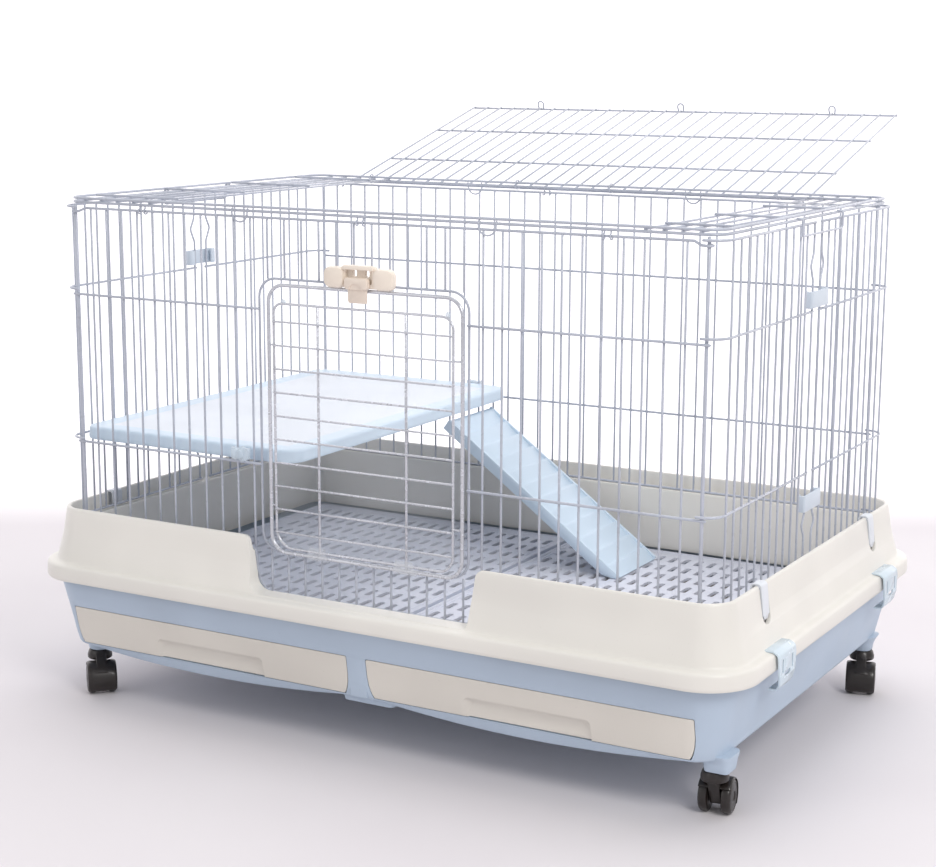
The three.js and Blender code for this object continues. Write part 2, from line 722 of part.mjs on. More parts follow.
function brakeTab() {
  const yz = [
    [-23, 46.6],
    [-25, 45],
    [-36, 53],
    [-37, 57.5],
    [-31, 58],
  ];
  const shape = new THREE.Shape(yz.map(([y, z]) => new THREE.Vector2(y, z)));
  const g = new THREE.ExtrudeGeometry(shape, { depth: 12, bevelEnabled: false, steps: 1 });
  return solid(g.rotateX(Math.PI / 2).rotateZ(Math.PI / 2).translate(-6, 0, 0));
}

// ---- assembly -----------------------------------------------------------------------------
add("base_tub", baseTub(), BLUE, 0.45);
add("floor_grid_left", floorPanel(-1), LILAC, 0.5);
add("floor_grid_right", floorPanel(1), LILAC, 0.5);
add("drawer_left", drawer(-1), BEIGE, 0.45);
add("drawer_right", drawer(1), BEIGE, 0.45);
add("collar", collar(), IVORY, 0.42);
for (const [side, s] of [["left", -1], ["right", 1]]) {
  for (const [end, y] of [["front", -190], ["rear", 190]]) {
    add(`collar_retainer_${side}_${end}`, retainer(s, y), LILAC, 0.4);
    add(`collar_hasp_${side}_${end}`, hasp(s, y), PALE_BLUE, 0.3, 0, 0.85);
  }
}
add("wire_panel_front", frontPanel(), WIRE_COLOUR, 0.35, 0.3);
add("wire_panel_back", backPanel(), WIRE_COLOUR, 0.35, 0.3);
for (const [side, sx] of [["left", -1], ["right", 1]]) {
  for (const [end, sy] of [["front", -1], ["rear", 1]]) {
    add(`wire_panel_${side}_${end}`, sideHalf(sx, sy), WIRE_COLOUR, 0.35, 0.3);
  }
  add(`side_clip_${side}_upper`, sideClip(sx, 564), PALE_BLUE, 0.4);
  add(`side_clip_${side}_lower`, sideClip(sx, 317), PALE_BLUE, 0.4);
  add(`roof_bail_${side}`, bail(sx), WIRE_COLOUR, 0.35, 0.3);
}
add("roof_frame", roofFrame(), WIRE_COLOUR, 0.35, 0.3);
const lidMesh = add("roof_lid", lid(), WIRE_COLOUR, 0.35, 0.3);
lidMesh.position.set(0, HALF_D, ROOF_Z);
lidMesh.rotation.x = -THREE.MathUtils.degToRad(180 - LID.lean);
add("door_frame", doorFrame(), 0xe2e5ea, 0.35, 0.3);
add("door_plate", doorPlate(), CLEAR, 0.08, 0, 0.25);
add("door_cuff_left", doorCuff(-62), CLEAR, 0.1, 0, 0.4);
add("door_cuff_right", doorCuff(62), CLEAR, 0.1, 0, 0.4);
add("door_latch_body", latchBody(), CREAM, 0.4);
add("door_latch_slider", latchSlider(), CREAM, 0.4);
add("platform", platform(), PALE_BLUE, 0.4);
add("platform_knob_front", knob(-1), CLEAR, 0.2, 0, 0.6);
add("platform_knob_rear", knob(1), CLEAR, 0.2, 0, 0.6);
add("ramp", ramp(), PALE_BLUE, 0.4);
caster("front_left", -1, -1);
const brakeGroup = caster("front_right", 1, -1);
add("caster_brake_front_right", brakeTab(), BLACK, 0.4, 0, 1, brakeGroup);
caster("rear_left", -1, 1);
caster("rear_right", 1, 1);

// The origin is the middle of the whole footprint, which the open lid makes deeper at the back.
root.updateMatrixWorld(true);
const extent = new THREE.Box3().setFromObject(cage, true);
cage.position.y = -(extent.min.y + extent.max.y) / 2;

export default root;
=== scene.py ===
"""Rabbit hutch: the finished visual model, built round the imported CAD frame.

Lengths in this script are millimetres in the cage's own frame (X along the width, front at -Y,
Z up from the floor), and at() turns them into the row frame's metres.
"""

import math

import bmesh
import bpy
from mathutils import Matrix, Vector


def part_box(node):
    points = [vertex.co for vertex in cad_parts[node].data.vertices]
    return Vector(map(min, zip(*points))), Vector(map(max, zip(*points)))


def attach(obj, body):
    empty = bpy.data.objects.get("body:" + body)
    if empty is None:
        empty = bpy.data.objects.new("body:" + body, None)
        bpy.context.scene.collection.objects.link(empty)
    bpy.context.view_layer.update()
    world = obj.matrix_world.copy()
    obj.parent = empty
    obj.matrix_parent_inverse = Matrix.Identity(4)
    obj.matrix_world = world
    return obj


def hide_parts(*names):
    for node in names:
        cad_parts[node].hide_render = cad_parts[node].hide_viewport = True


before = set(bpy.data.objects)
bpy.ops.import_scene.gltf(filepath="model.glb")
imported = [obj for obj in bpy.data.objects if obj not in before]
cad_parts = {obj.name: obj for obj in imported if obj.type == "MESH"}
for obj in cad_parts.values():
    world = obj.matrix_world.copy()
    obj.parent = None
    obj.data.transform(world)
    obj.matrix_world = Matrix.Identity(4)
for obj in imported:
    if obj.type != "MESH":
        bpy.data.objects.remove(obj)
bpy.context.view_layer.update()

# The cage's middle lies forward of the origin, because the open lid reaches far back.
_roof_low, _roof_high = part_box("roof_frame")
CAGE_Y = (_roof_low.y + _roof_high.y) / 2 * 1000

PITCH = 25.0
BAYS = 35
HALF_W = PITCH * BAYS / 2
HALF_D = 284.4
SIDE_X = HALF_W + 20.5
FLOOR_Z = 148.0
NOTCH_Z = 186.0
LEDGE_Z = 239.0
SILL_Z = LEDGE_Z + 2.2
LOW_Z = 348.0
MID_Z = 542.0
TOP_Z = 653.0
SIDE_LIFT = (1.6, 4.6, 7.0, 1.6)
ROOF_Z = 662.8
RIM_Z = 259.0
WIRE_R = 1.6
THIN_R = 1.4
POST_R = 2.2

# The wire loop round the door: a little left of the middle.
OPENING_X, OPENING_HX, OPENING_R = -3.0, 147.5, 24.0
OPENING_LOW, OPENING_TOP = 240.0, 580.0

# The casters stand a little to the right of the middle; each has its side, its end and its heading.
CASTER_X, CASTER_Y, CASTER_SHIFT = 448.0, 259.0, 3.5
CASTERS = {
    "front_left": (-1, -1, 45), "front_right": (1, -1, 188),
    "rear_left": (-1, 1, 150), "rear_right": (1, 1, 16),
}

# Y of the collar's slots and hasps, on both sides of the middle.
SLOT_Y = 190


def at(x, y, z):
    return Vector((x, y + CAGE_Y, z)) / 1000


def side_of(s):
    return "left" if s < 0 else "right"


def end_of(s):
    return "front" if s < 0 else "rear"


# ---- shapes ---------------------------------------------------------------------------------
def arc(cx, cy, r, start, end, steps):
    """Points of an arc in a plane; angles in degrees."""
    points = []
    for i in range(steps + 1):
        a = math.radians(start + (end - start) * i / steps)
        points.append((cx + r * math.cos(a), cy + r * math.sin(a)))
    return points


def rectangle(x0, x1, y0, y1):
    return [(x0, y0), (x1, y0), (x1, y1), (x0, y1)]


def round_rect(hx, hy, r, steps=6, cx=0.0, cy=0.0):
    """Outline of a rounded rectangle, counter-clockwise."""
    points = []
    for sx, sy, start in ((1, -1, -90), (1, 1, 0), (-1, 1, 90), (-1, -1, 180)):
        points += arc(cx + sx * (hx - r), cy + sy * (hy - r), r, start, start + 90, steps)
    return points


def fillet(points, r, steps=5):
    """A 3-D polyline with its corners rounded to radius r."""
    p = [Vector(q) for q in points]
    out = [p[0]]
    for a, b, c in zip(p, p[1:], p[2:]):
        u, v = (a - b).normalized(), (c - b).normalized()
        angle = u.angle(v)
        if angle > math.radians(176):
            out.append(b)
            continue
        cut = min(r / math.tan(angle / 2), (a - b).length * 0.45, (c - b).length * 0.45)
        for i in range(steps + 1):
            t = i / steps
            first = b + u * cut * (1 - t)
            second = b + v * cut * t
            out.append(first.lerp(second, t))
    out.append(p[-1])
    return out


class Shape:
    """Vertices and faces of one piece, gathered from several closed parts."""

    def __init__(self):
        self.verts = []
        self.faces = []

    def add(self, verts, faces):
        base = len(self.verts)
        self.verts += [tuple(v) for v in verts]
        self.faces += [tuple(base + i for i in f) for f in faces]
        return self

    def loft(self, loops, caps=True, wrap=False):
        """Skin over loops that have the same number of points; wrap joins the last to the first."""
        n = len(loops[0])
        verts = [v for loop in loops for v in loop]
        faces = []
        rows = len(loops) if wrap else len(loops) - 1
        for j in range(rows):
            k = (j + 1) % len(loops)
            for i in range(n):
                m = (i + 1) % n
                faces.append((j * n + i, j * n + m, k * n + m, k * n + i))
        if caps and not wrap:
            faces.append(tuple(range(n))[::-1])
            faces.append(tuple((len(loops) - 1) * n + i for i in range(n)))
        return self.add(verts, faces)

    def tube(self, points, r, closed=False, sides=10):
        """A round wire along the points, with slightly domed ends."""
        p = [Vector(q) for q in points]
        count = len(p)
        tangents = []
        for i in range(count):
            if closed:
                d = p[(i + 1) % count] - p[i - 1]
            else:
                d = p[min(i + 1, count - 1)] - p[max(i - 1, 0)]
            tangents.append(d.normalized())
        up = Vector((0, 0, 1)) if abs(tangents[0].z) < 0.9 else Vector((0, 1, 0))
        side = tangents[0].cross(up).normalized()
        loops = []
        for i in range(count):
            side = (side - tangents[i] * side.dot(tangents[i])).normalized()
            other = tangents[i].cross(side)
            loops.append(circle_at(p[i], side, other, r, sides))
            if not closed and i in (0, count - 1):
                sign = -1 if i == 0 else 1
                dome = circle_at(p[i] + tangents[i] * sign * r * 0.5, side, other, r * 0.62, sides)
                loops.insert(0, dome) if i == 0 else loops.append(dome)
        return self.loft(loops, caps=not closed, wrap=closed)

    def bar(self, a, b, r, sides=10):
        return self.tube([a, b], r, sides=sides)

    def prism(self, outline, low, high, plane="xy", edge=0.0):
        """An outline pulled from low to high across a plane, with its two rims rounded by edge."""
        steps = [(low, edge), (low + edge * 0.3, edge * 0.3), (low + edge, 0)] if edge else [(low, 0)]
        steps += [(high - edge, 0), (high - edge * 0.3, edge * 0.3), (high, edge)] if edge else [(high, 0)]
        cx = sum(p[0] for p in outline) / len(outline)
        cy = sum(p[1] for p in outline) / len(outline)
        wide = max(abs(p[0] - cx) for p in outline)
        tall = max(abs(p[1] - cy) for p in outline)
        loops = []
        for h, inset in steps:
            sx, sy = 1 - inset / wide, 1 - inset / tall
            flat = [(cx + (a - cx) * sx, cy + (b - cy) * sy) for a, b in outline]
            loops.append([place(a, b, h, plane) for a, b in flat])
        return self.loft(loops)

    def turned(self, profile, centre, axis=(0, 0, 1), segments=40):
        """A turned solid: (radius, height) points round an axis through centre."""
        turn = Vector((0, 0, 1)).rotation_difference(Vector(axis))
        loops = []
        for r, h in profile:
            ring = []
            for i in range(segments):
                a = 2 * math.pi * i / segments
                q = turn @ Vector((max(r, 0.01) * math.cos(a), max(r, 0.01) * math.sin(a), h))
                ring.append(q + Vector(centre))
            loops.append(ring)
        return self.loft(loops)


def circle_at(centre, u, v, r, sides):
    out = []
    for i in range(sides):
        a = 2 * math.pi * i / sides
        out.append(centre + u * (r * math.cos(a)) + v * (r * math.sin(a)))
    return out


def place(a, b, h, plane):
    if plane == "xy":
        return (a, b, h)
    if plane == "xz":
        return (a, h, b)
    return (h, a, b)


def ring(hx, hy, r, z, steps=10, cx=0.0, cy=0.0):
    return [(x, y, z) for x, y in round_rect(hx, hy, r, steps, cx, cy)]


def mesh_of(name, shape):
    mesh = bpy.data.meshes.new(name)
    mesh.from_pydata([at(*v) for v in shape.verts], [], shape.faces)
    bm = bmesh.new()
    bm.from_mesh(mesh)
    bmesh.ops.remove_doubles(bm, verts=bm.verts, dist=1e-6)
    bmesh.ops.recalc_face_normals(bm, faces=bm.faces)
    bm.to_mesh(mesh)
    bm.free()
    obj = bpy.data.objects.new(name, mesh)
    bpy.context.scene.collection.objects.link(obj)
    return obj


def bake(obj):
    """Makes the modifiers of obj part of its mesh."""
    graph = bpy.context.evaluated_depsgraph_get()
    made = bpy.data.meshes.new_from_object(obj.evaluated_get(graph))
    obj.modifiers.clear()
    obj.data = made


def boolean(obj, tool, operation="DIFFERENCE", use_self=True):
    """Cuts a shape or another object out of obj, or joins it on, for good."""
    if isinstance(tool, Shape):
        tool = mesh_of("tool", tool)
    modifier = obj.modifiers.new("boolean", "BOOLEAN")
    modifier.object = tool
    modifier.operation = operation
    modifier.solver = "EXACT"
    modifier.use_self = use_self
    old = obj.data
    bake(obj)
    bpy.data.meshes.remove(old)
    bpy.data.objects.remove(tool)
    return obj


def finish(obj, material, body, slot, replaces=(), bevel=0.0, angle=35, segments=2):
    """Gives a piece its edges, shading, material, body and the CAD nodes that it stands for."""
    if bevel:
        modifier = obj.modifiers.new("edges", "BEVEL")
        modifier.width = bevel / 1000
        modifier.segments = segments
        modifier.limit_method = "ANGLE"
        modifier.angle_limit = math.radians(angle)
        modifier.harden_normals = False
        modifier.miter_outer = "MITER_ARC"
        bake(obj)
    obj.data.materials.clear()
    obj.data.materials.append(material)
    obj.data.shade_smooth()
    obj.data.set_sharp_from_angle(angle=math.radians(38))
    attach(obj, body)
    if replaces:
        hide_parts(*replaces)
    return obj


def piece(name, shape, material, body, slot, replaces=(), **edges):
    return finish(mesh_of(name, shape), material, body, slot, replaces, **edges)


# ---- materials ------------------------------------------------------------------------------
def linear(rgb):
    out = []
    for c in rgb:
        c /= 255
        out.append(c / 12.92 if c <= 0.04045 else ((c + 0.055) / 1.055) ** 2.4)
    return (*out, 1.0)


def shade(rgb, k):
    return tuple(max(0, min(255, c * k)) for c in rgb)


class Nodes:
    def __init__(self, name):
        self.material = bpy.data.materials.new(name)
        self.material.use_nodes = True
        self.tree = self.material.node_tree
        self.bsdf = self.tree.nodes["Principled BSDF"]
        self.coords = self.tree.nodes.new("ShaderNodeTexCoord").outputs["Object"]

    def feed(self, node, inputs):
        """Gives each input of the node its value, or links it to a socket."""
        for key, value in inputs.items():
            if isinstance(value, bpy.types.NodeSocket):
                self.tree.links.new(value, node.inputs[key])
            else:
                node.inputs[key].default_value = value

    def node(self, kind, inputs, **settings):
        node = self.tree.nodes.new("ShaderNode" + kind)
        for key, value in settings.items():
            setattr(node, key, value)
        self.feed(node, inputs)
        return node

    def surface(self, **inputs):
        """Sets the shader's own inputs; an underscore stands for a space."""
        self.feed(self.bsdf, {key.replace("_", " "): value for key, value in inputs.items()})

    def noise(self, scale, detail=3.0, rough=0.5, stretch=None):
        where = self.coords
        if stretch:
            where = self.node("Mapping", {"Scale": stretch, "Vector": where}).outputs["Vector"]
        inputs = {"Vector": where, "Scale": scale, "Detail": detail, "Roughness": rough}
        return self.node("TexNoise", inputs).outputs["Fac"]

    def spread(self, value, low, high, out_low, out_high, **settings):
        inputs = {"Value": value, "From Min": low, "From Max": high, "To Min": out_low, "To Max": out_high}
        return self.node("MapRange", inputs, **settings).outputs["Result"]

    def mix(self, fac, a, b):
        return self.node("Mix", {0: fac, 6: a, 7: b}, data_type="RGBA").outputs[2]

    def maths(self, operation, a, b):
        return self.node("Math", {0: a, 1: b}, operation=operation).outputs[0]

    def bump(self, height, strength, distance, **normal):
        inputs = {"Strength": strength, "Distance": distance, "Height": height, **normal}
        return self.node("Bump", inputs).outputs["Normal"]


def plastic(name, rgb, rough=0.4, grain=0.12, drift=0.035, scuff=0.5, coat=0.0, inside=0.0):
    """Moulded plastic: slow colour drift, fine moulded grain, faint scuffs and paler worn edges."""
    n = Nodes(name)
    drifting = n.spread(n.noise(5.0, 2.0), 0.3, 0.7, 0.0, 1.0)
    base = n.mix(drifting, linear(shade(rgb, 1 - drift)), linear(shade(rgb, 1 + drift * 0.6)))
    flow = n.spread(n.noise(3.0, 3.0, stretch=(1.0, 1.0, 9.0)), 0.35, 0.7, 0.0, 0.3)
    base = n.mix(flow, base, linear(shade(rgb, 0.985)))
    worn = n.spread(n.node("NewGeometry", {}).outputs["Pointiness"], 0.56, 0.68, 0.0, 0.18)
    patches = n.spread(n.noise(70.0, 4.0), 0.45, 0.62, 0.0, 1.0)
    edge = n.maths("MULTIPLY", worn, patches)
    base = n.mix(edge, base, linear(shade(rgb, 1.1)))
    specks = n.spread(n.noise(420.0, 2.0), 0.71, 0.76, 0.0, 0.18)
    base = n.mix(specks, base, linear(shade(rgb, 0.8)))
    scratches = n.noise(1.0, 5.0, 0.65, stretch=(260.0, 30.0, 420.0))
    scratch_mask = n.spread(scratches, 0.6, 0.75, 0.0, 0.12 * scuff)
    soft = n.spread(n.noise(26.0, 4.0), 0.3, 0.7, rough - 0.05, rough + 0.06)
    fine = n.bump(n.noise(1500.0, 2.0), grain, 0.0002)
    wave = n.bump(n.noise(14.0, 2.0), 0.12, 0.0012, Normal=fine)
    n.surface(Base_Color=base, Roughness=n.maths("ADD", soft, scratch_mask), Normal=wave, IOR=1.47)
    if coat:
        n.surface(Coat_Weight=coat, Coat_Roughness=0.12)
    if inside:
        n.surface(Subsurface_Weight=inside, Subsurface_Radius=(0.008, 0.009, 0.011), Subsurface_Scale=1.0)
    return n.material


def coated_wire(name, rgb, rough=0.3, metallic=0.0):
    """Dip-coated steel wire: long runs in the coating, a glossy skin and small dull spots."""
    n = Nodes(name)
    runs = n.spread(n.noise(9.0, 3.0), 0.35, 0.65, 0.0, 1.0)
    base = n.mix(runs, linear(shade(rgb, 0.95)), linear(shade(rgb, 1.03)))
    dull = n.spread(n.noise(140.0, 3.0), 0.62, 0.72, 0.0, 0.4)
    base = n.mix(dull, base, linear(shade(rgb, 0.86)))
    patchy = n.spread(n.noise(80.0, 3.0), 0.3, 0.7, rough - 0.07, rough + 0.1)
    dents = n.bump(n.noise(500.0, 2.0), 0.2, 0.0003)
    n.surface(Base_Color=base, Roughness=patchy, Normal=dents, Metallic=metallic)
    n.surface(Coat_Weight=0.3, Coat_Roughness=0.1)
    return n.material


def clear(name, rgb, alpha, rough=0.06):
    """Clear moulded sheet: mostly see-through, with faint haze, rubbed patches and ripples."""
    n = Nodes(name)
    haze = n.spread(n.noise(11.0, 3.0), 0.35, 0.7, alpha * 0.75, alpha * 1.3)
    patches = n.spread(n.noise(30.0, 2.0), 0.3, 0.7, 0.0, 1.0)
    tint = n.mix(patches, linear(shade(rgb, 0.96)), linear(rgb))
    rubbed = n.spread(n.noise(60.0, 4.0), 0.4, 0.75, rough, rough + 0.12)
    ripples = n.bump(n.noise(18.0, 2.0), 0.12, 0.001)
    n.surface(Base_Color=tint, Alpha=haze, Roughness=rubbed, Normal=ripples)
    return n.material


BLUE = plastic("blue moulding", (184, 199, 216), rough=0.46)
SHELF = plastic("platform moulding", (205, 222, 237), rough=0.38)
# Painted light: the platform's flat centre gets a paler colour than its border, which stands in for the light
# that falls on its top.
PAINTED_LIGHT_CENTRE = plastic("platform centre painted light", (222, 228, 236), rough=0.46)
IVORY = plastic("ivory moulding", (231, 228, 221), rough=0.4, coat=0.1)
BEIGE = plastic("beige moulding", (222, 217, 208), rough=0.44)
LILAC = plastic("floor moulding", (215, 218, 230), rough=0.42)
CLIP = plastic("clip moulding", (203, 213, 224), rough=0.36)
STRAP = plastic("strap moulding", (222, 226, 232), rough=0.36)
CREAM = plastic("cream moulding", (240, 228, 214), rough=0.38, coat=0.15)
CREAM_DARK = plastic("cream slider", (232, 218, 204), rough=0.4, coat=0.1)
BLACK = plastic("caster moulding", (36, 30, 28), rough=0.34, grain=0.25, drift=0.1, coat=0.2)
HASP = plastic("hasp moulding", (206, 222, 234), rough=0.25, inside=0.2, coat=0.2)
WIRE = coated_wire("coated wire", (182, 187, 199))
DOOR_WIRE = coated_wire("door wire", (205, 207, 214), rough=0.24, metallic=0.45)
STEEL = coated_wire("axle steel", (170, 172, 176), rough=0.25, metallic=1.0)
CLEAR = clear("clear sheet", (238, 243, 248), 0.05)
CUFF = clear("clear cuff", (240, 244, 248), 0.16)
KNOB = clear("clear knob", (222, 234, 244), 0.55, rough=0.12)


# ---- camera, stage and light -------------------------------------------------------------------
# Lens and sensor in millimetres, angles in degrees, and the place in the row frame's metres.
LENS, SENSOR = 73.89, 36.0
AZIMUTH, ELEVATION, ROLL = 29.666, 11.119, 0.207
CAMERA_AT = (1.2256, -2.3541, 0.8455)


def camera_and_light():
    camera = bpy.data.cameras.new("camera")
    camera.lens = LENS
    camera.sensor_width = SENSOR
    camera.clip_start, camera.clip_end = 0.1, 60
    holder = bpy.data.objects.new("camera", camera)
    azimuth, elevation, roll = (math.radians(a) for a in (AZIMUTH, ELEVATION, ROLL))
    level = math.cos(elevation)
    back = Vector((math.sin(azimuth) * level, -math.cos(azimuth) * level, math.sin(elevation)))
    turn = (-back).to_track_quat("-Z", "Y") @ Matrix.Rotation(roll, 3, "Z").to_quaternion()
    holder.rotation_mode = "QUATERNION"
    holder.rotation_quaternion = turn
    holder.location = CAMERA_AT
    bpy.context.scene.collection.objects.link(holder)
    bpy.context.scene.camera = holder

    scene = bpy.context.scene
    scene.view_settings.view_transform = "Standard"
    world = bpy.data.worlds.new("studio")
    scene.world = world
    world.use_nodes = True
    background = world.node_tree.nodes["Background"]
    background.inputs["Color"].default_value = (0.97, 0.975, 1.0, 1)
    background.inputs["Strength"].default_value = 0.6

    def area(name, where, target, size, power, colour):
        light = bpy.data.lights.new(name, "AREA")
        light.shape = "DISK"
        light.size = size
        light.energy = power
        light.color = colour
        lamp = bpy.data.objects.new(name, light)
        lamp.location = where
        lamp.rotation_mode = "QUATERNION"
        lamp.rotation_quaternion = (Vector(target) - Vector(where)).to_track_quat("-Z", "Y")
        scene.collection.objects.link(lamp)

    area("key", (2.3, -1.6, 2.1), (0.1, -0.2, 0.3), 1.2, 36, (1.0, 0.985, 0.965))
    area("fill", (-1.4, -2.8, 1.4), (0.0, -0.2, 0.3), 1.8, 8, (1.0, 0.98, 0.97))
    area("top", (0.2, 0.2, 2.9), (0.0, -0.1, 0.3), 2.0, 16, (1.0, 1.0, 1.0))


def stage():
    """A pale floor that curves up into a white wall, square to the camera."""
    profile = [(-4.5, 0.0), (-1.5, 0.0), (0.8, 0.0)]
    for i in range(1, 17):
        a = math.pi / 2 * i / 16
        profile.append((0.8 + 0.5 * math.sin(a), 0.5 - 0.5 * math.cos(a)))
    profile.append((1.3, 6.0))
    verts, faces = [], []
    for x in (-7.0, 7.0):
        verts += [(x, y, z) for y, z in profile]
    count = len(profile)
    for i in range(count - 1):
        faces.append((i, count + i, count + i + 1, i + 1))
    mesh = bpy.data.meshes.new("backdrop")
    mesh.from_pydata(verts, [], faces)
    mesh.shade_smooth()
    obj = bpy.data.objects.new("backdrop", mesh)
    obj.rotation_euler = (0, 0, math.radians(AZIMUTH))
    bpy.context.scene.collection.objects.link(obj)
    n = Nodes("backdrop paper")
    cloud = n.spread(n.noise(1.6, 3.0), 0.3, 0.7, 0.0, 1.0)
    paper = n.mix(cloud, linear((222, 217, 220)), linear((228, 224, 226)))
    n.surface(Base_Color=paper, Normal=n.bump(n.noise(90.0, 3.0), 0.05, 0.0006), Roughness=0.85)
    depth = n.node("SeparateXYZ", {"Vector": n.coords}).outputs["Y"]
    glow = n.spread(depth, 0.75, 1.15, 0.0, 0.75, interpolation_type="SMOOTHSTEP")
    n.surface(Emission_Color=(1, 1, 1, 1), Emission_Strength=glow)
    # The wall is see-through from behind, so that it hides nothing in a view from the back.
    rear = n.node("NewGeometry", {}).outputs["Backfacing"]
    shaders = {0: rear, 1: n.bsdf.outputs["BSDF"], 2: n.node("BsdfTransparent", {}).outputs["BSDF"]}
    either = n.node("MixShader", shaders).outputs["Shader"]
    n.feed(n.tree.nodes["Material Output"], {"Surface": either})
    obj.data.materials.append(n.material)


# ---- base ---------------------------------------------------------------------------------------
# Half width, half depth and corner radius of the tub at each height.
TUB = [
    (73, 461.0, 295.0, 33), (74, 462.8, 296.8, 35), (76.5, 464.2, 298.2, 36), (84, 466.0, 299.9, 37),
    (92, 467.9, 301.4, 38), (104, 470.6, 303.5, 40), (118, 473.9, 305.9, 42), (137, 478.1, 309.3, 44),
    (150, 480.9, 311.5, 45), (164, 484, 314, 46),
]
DRAWER_X = (14.5, 443.5)
DRAWER_Z = (77.0, 127.0)


def tub_size(z):
    for (z0, *a), (z1, *b) in zip(TUB, TUB[1:]):
        if z <= z1:
            t = max(0.0, (z - z0) / (z1 - z0))
            return [p + (q - p) * t for p, q in zip(a, b)]
    return list(TUB[-1][1:])


def tub_front(x, z):
    """Y of the tub's front skin at a place on it."""
    hx, hy, r = tub_size(z)
    over = max(0.0, abs(x) - (hx - r))
    return -(hy - r + math.sqrt(max(0.0, r * r - over * over)))


def drawer_outline(s, grow):
    """Front outline of a drawer in X and Z: straight sides that run in near the bottom."""
    inner, outer = DRAWER_X[0] - grow, DRAWER_X[1] + grow
    low, high = DRAWER_Z[0] - grow, DRAWER_Z[1] + grow
    foot = ((6.5, 0), (3.2, 8), (1.0, 17), (0, 28))
    points = [(outer - dx, low + dz) for dx, dz in foot]
    points += arc(outer - 2.0, high - 2.0, 2.0, 0, 90, 3) + arc(inner + 2.0, high - 2.0, 2.0, 90, 180, 3)
    points += [(inner + dx, low + dz) for dx, dz in foot[::-1]]
    points = [(s * x, z) for x, z in points]
    return points if s > 0 else points[::-1]


def base():
    shape = Shape().loft([ring(hx, hy, r, z, 12) for z, hx, hy, r in TUB])
    obj = mesh_of("tray_base", shape)
    hollow = [(77, *tub_size(77)), (166, 485, 315, 46)]
    boolean(obj, Shape().loft([ring(hx - 4, hy - 4, r - 4, z, 12) for z, hx, hy, r in hollow]))
    ribs = Shape().prism(round_rect(12, 296, 1, 1, 0, -5), 76, FLOOR_Z - 8.6)
    boolean(obj, ribs, "UNION")
    for s in (-1, 1):
        boolean(obj, bowed_lip(s), "UNION")
        boolean(obj, Shape().prism(drawer_outline(s, 0.9), -340, -285, "xz"))
        for t in (-1, 1):
            boolean(obj, caster_boss(s, t), "UNION")
    boolean(obj, foot_lug(), "UNION")
    finish(obj, BLUE, "cage", "blue_plastic", ["base_tub"], bevel=0.7, angle=50)


def bowed_lip(s):
    """The lip under a drawer: it hangs lowest in its middle."""
    steps = 32
    loops = []
    for i in range(steps + 1):
        u = -1 + 2 * i / steps
        x = s * 229 + 206 * u
        drop = 73.4 - 11.6 * (1 - abs(u) ** 2.0)
        y = tub_front(x, 75)
        section = ((3.0, 78), (0.4, 76.4), (0.5, 74.2), (1.6, drop + 2.4), (3.4, drop), (9, drop), (9.5, 78))
        loops.append([(x, y + dy, z) for dy, z in section])
    return Shape().loft(loops)


def caster_boss(s, t):
    """The foot that a caster swivels in, faired into the tub's corner; the braked one is squarer."""
    if s > 0 and t < 0:
        sections = ((57, 14.5, 14.5, 5, 6), (58, 15.2, 15.2, 6, 6), (66, 16.5, 16, 7, 6), (70, 19, 17, 8, 4),
                    (74, 24, 19, 9, 0), (78, 27, 21, 10, -3))
    else:
        sections = ((57, 12, 12, 10, 0), (58, 13, 13, 11, 0), (66, 14.2, 14.2, 12, 0), (72, 16.5, 16.5, 13, 0),
                    (78, 20, 20, 14, 0))
    x, y = s * CASTER_X + CASTER_SHIFT, t * CASTER_Y
    return Shape().loft([ring(hx, hy, r, z, 6, x + dx, y) for z, hx, hy, r, dx in sections])


def foot_lug():
    sections = ((65, 33, 9, 4), (66.2, 36, 11, 5), (71, 38, 12, 5), (74, 44, 14, 5), (78, 48, 15, 6))
    return Shape().loft([ring(hx, hy, r, z, 4, 8, -281 + 0.4 * (z - 65)) for z, hx, hy, r in sections])


def drawer(s):
    side = side_of(s)
    low, high = DRAWER_Z
    cx = s * (DRAWER_X[0] + DRAWER_X[1]) / 2
    half = (DRAWER_X[1] - DRAWER_X[0]) / 2
    face = Shape().add(*thick(grid_face(drawer_outline(s, 0.0), tub_front), 14.0))
    obj = mesh_of(f"drawer_{side}", face)
    boolean(obj, scoop_cut(cx, low))
    box = Shape().prism(round_rect(half - 4, 276, 10, 5, cx, -21), low + 0.6, high - 3, edge=1.0)
    boolean(obj, box, "UNION")
    boolean(obj, Shape().prism(round_rect(half - 6.5, 271.5, 8, 5, cx, -19), low + 3, high + 20))
    finish(obj, BEIGE, f"drawer_{side}", "beige_plastic", [f"drawer_{side}"], bevel=0.6, angle=50)


def scoop_cut(cx, low):
    """The finger recess: a slanted left end, a curved back and a mouth that is open below."""
    sections = (
        (-330, 27.0, -82, 87), (-302, 25.0, -79, 85), (-298, 21.0, -72, 83), (-293.5, 15.0, -66, 81),
        (-291.5, 9.0, -63, 80),
    )
    loops = []
    for y, top, left, right in sections:
        z = low + top
        left, right = cx + left, cx + right
        loops.append([(x, y, z) for x, z in (
            (left - 7, low - 8), (right + 4, low - 8), (right + 3, low + 6), (right, z - 3),
            (right - 3.5, z), (left + 3.5, z), (left, z - 3), (left - 5, low + 6),
        )])
    return Shape().loft(loops)


def grid_face(outline, y_of):
    """A curved skin over an outline in X and Z: vertical strips, so that it follows the skin's section."""
    xs = [p[0] for p in outline]
    columns, rows = 60, 16
    x0, x1 = min(xs), max(xs)
    grid = []
    for i in range(columns + 1):
        x = x0 + (x1 - x0) * (0.5 - 0.5 * math.cos(math.pi * i / columns))
        low, high = span(outline, min(max(x, x0 + 0.02), x1 - 0.02))
        heights = [low + (high - low) * j / rows for j in range(rows + 1)]
        grid.append([(x, y_of(x, z), z) for z in heights])
    return grid


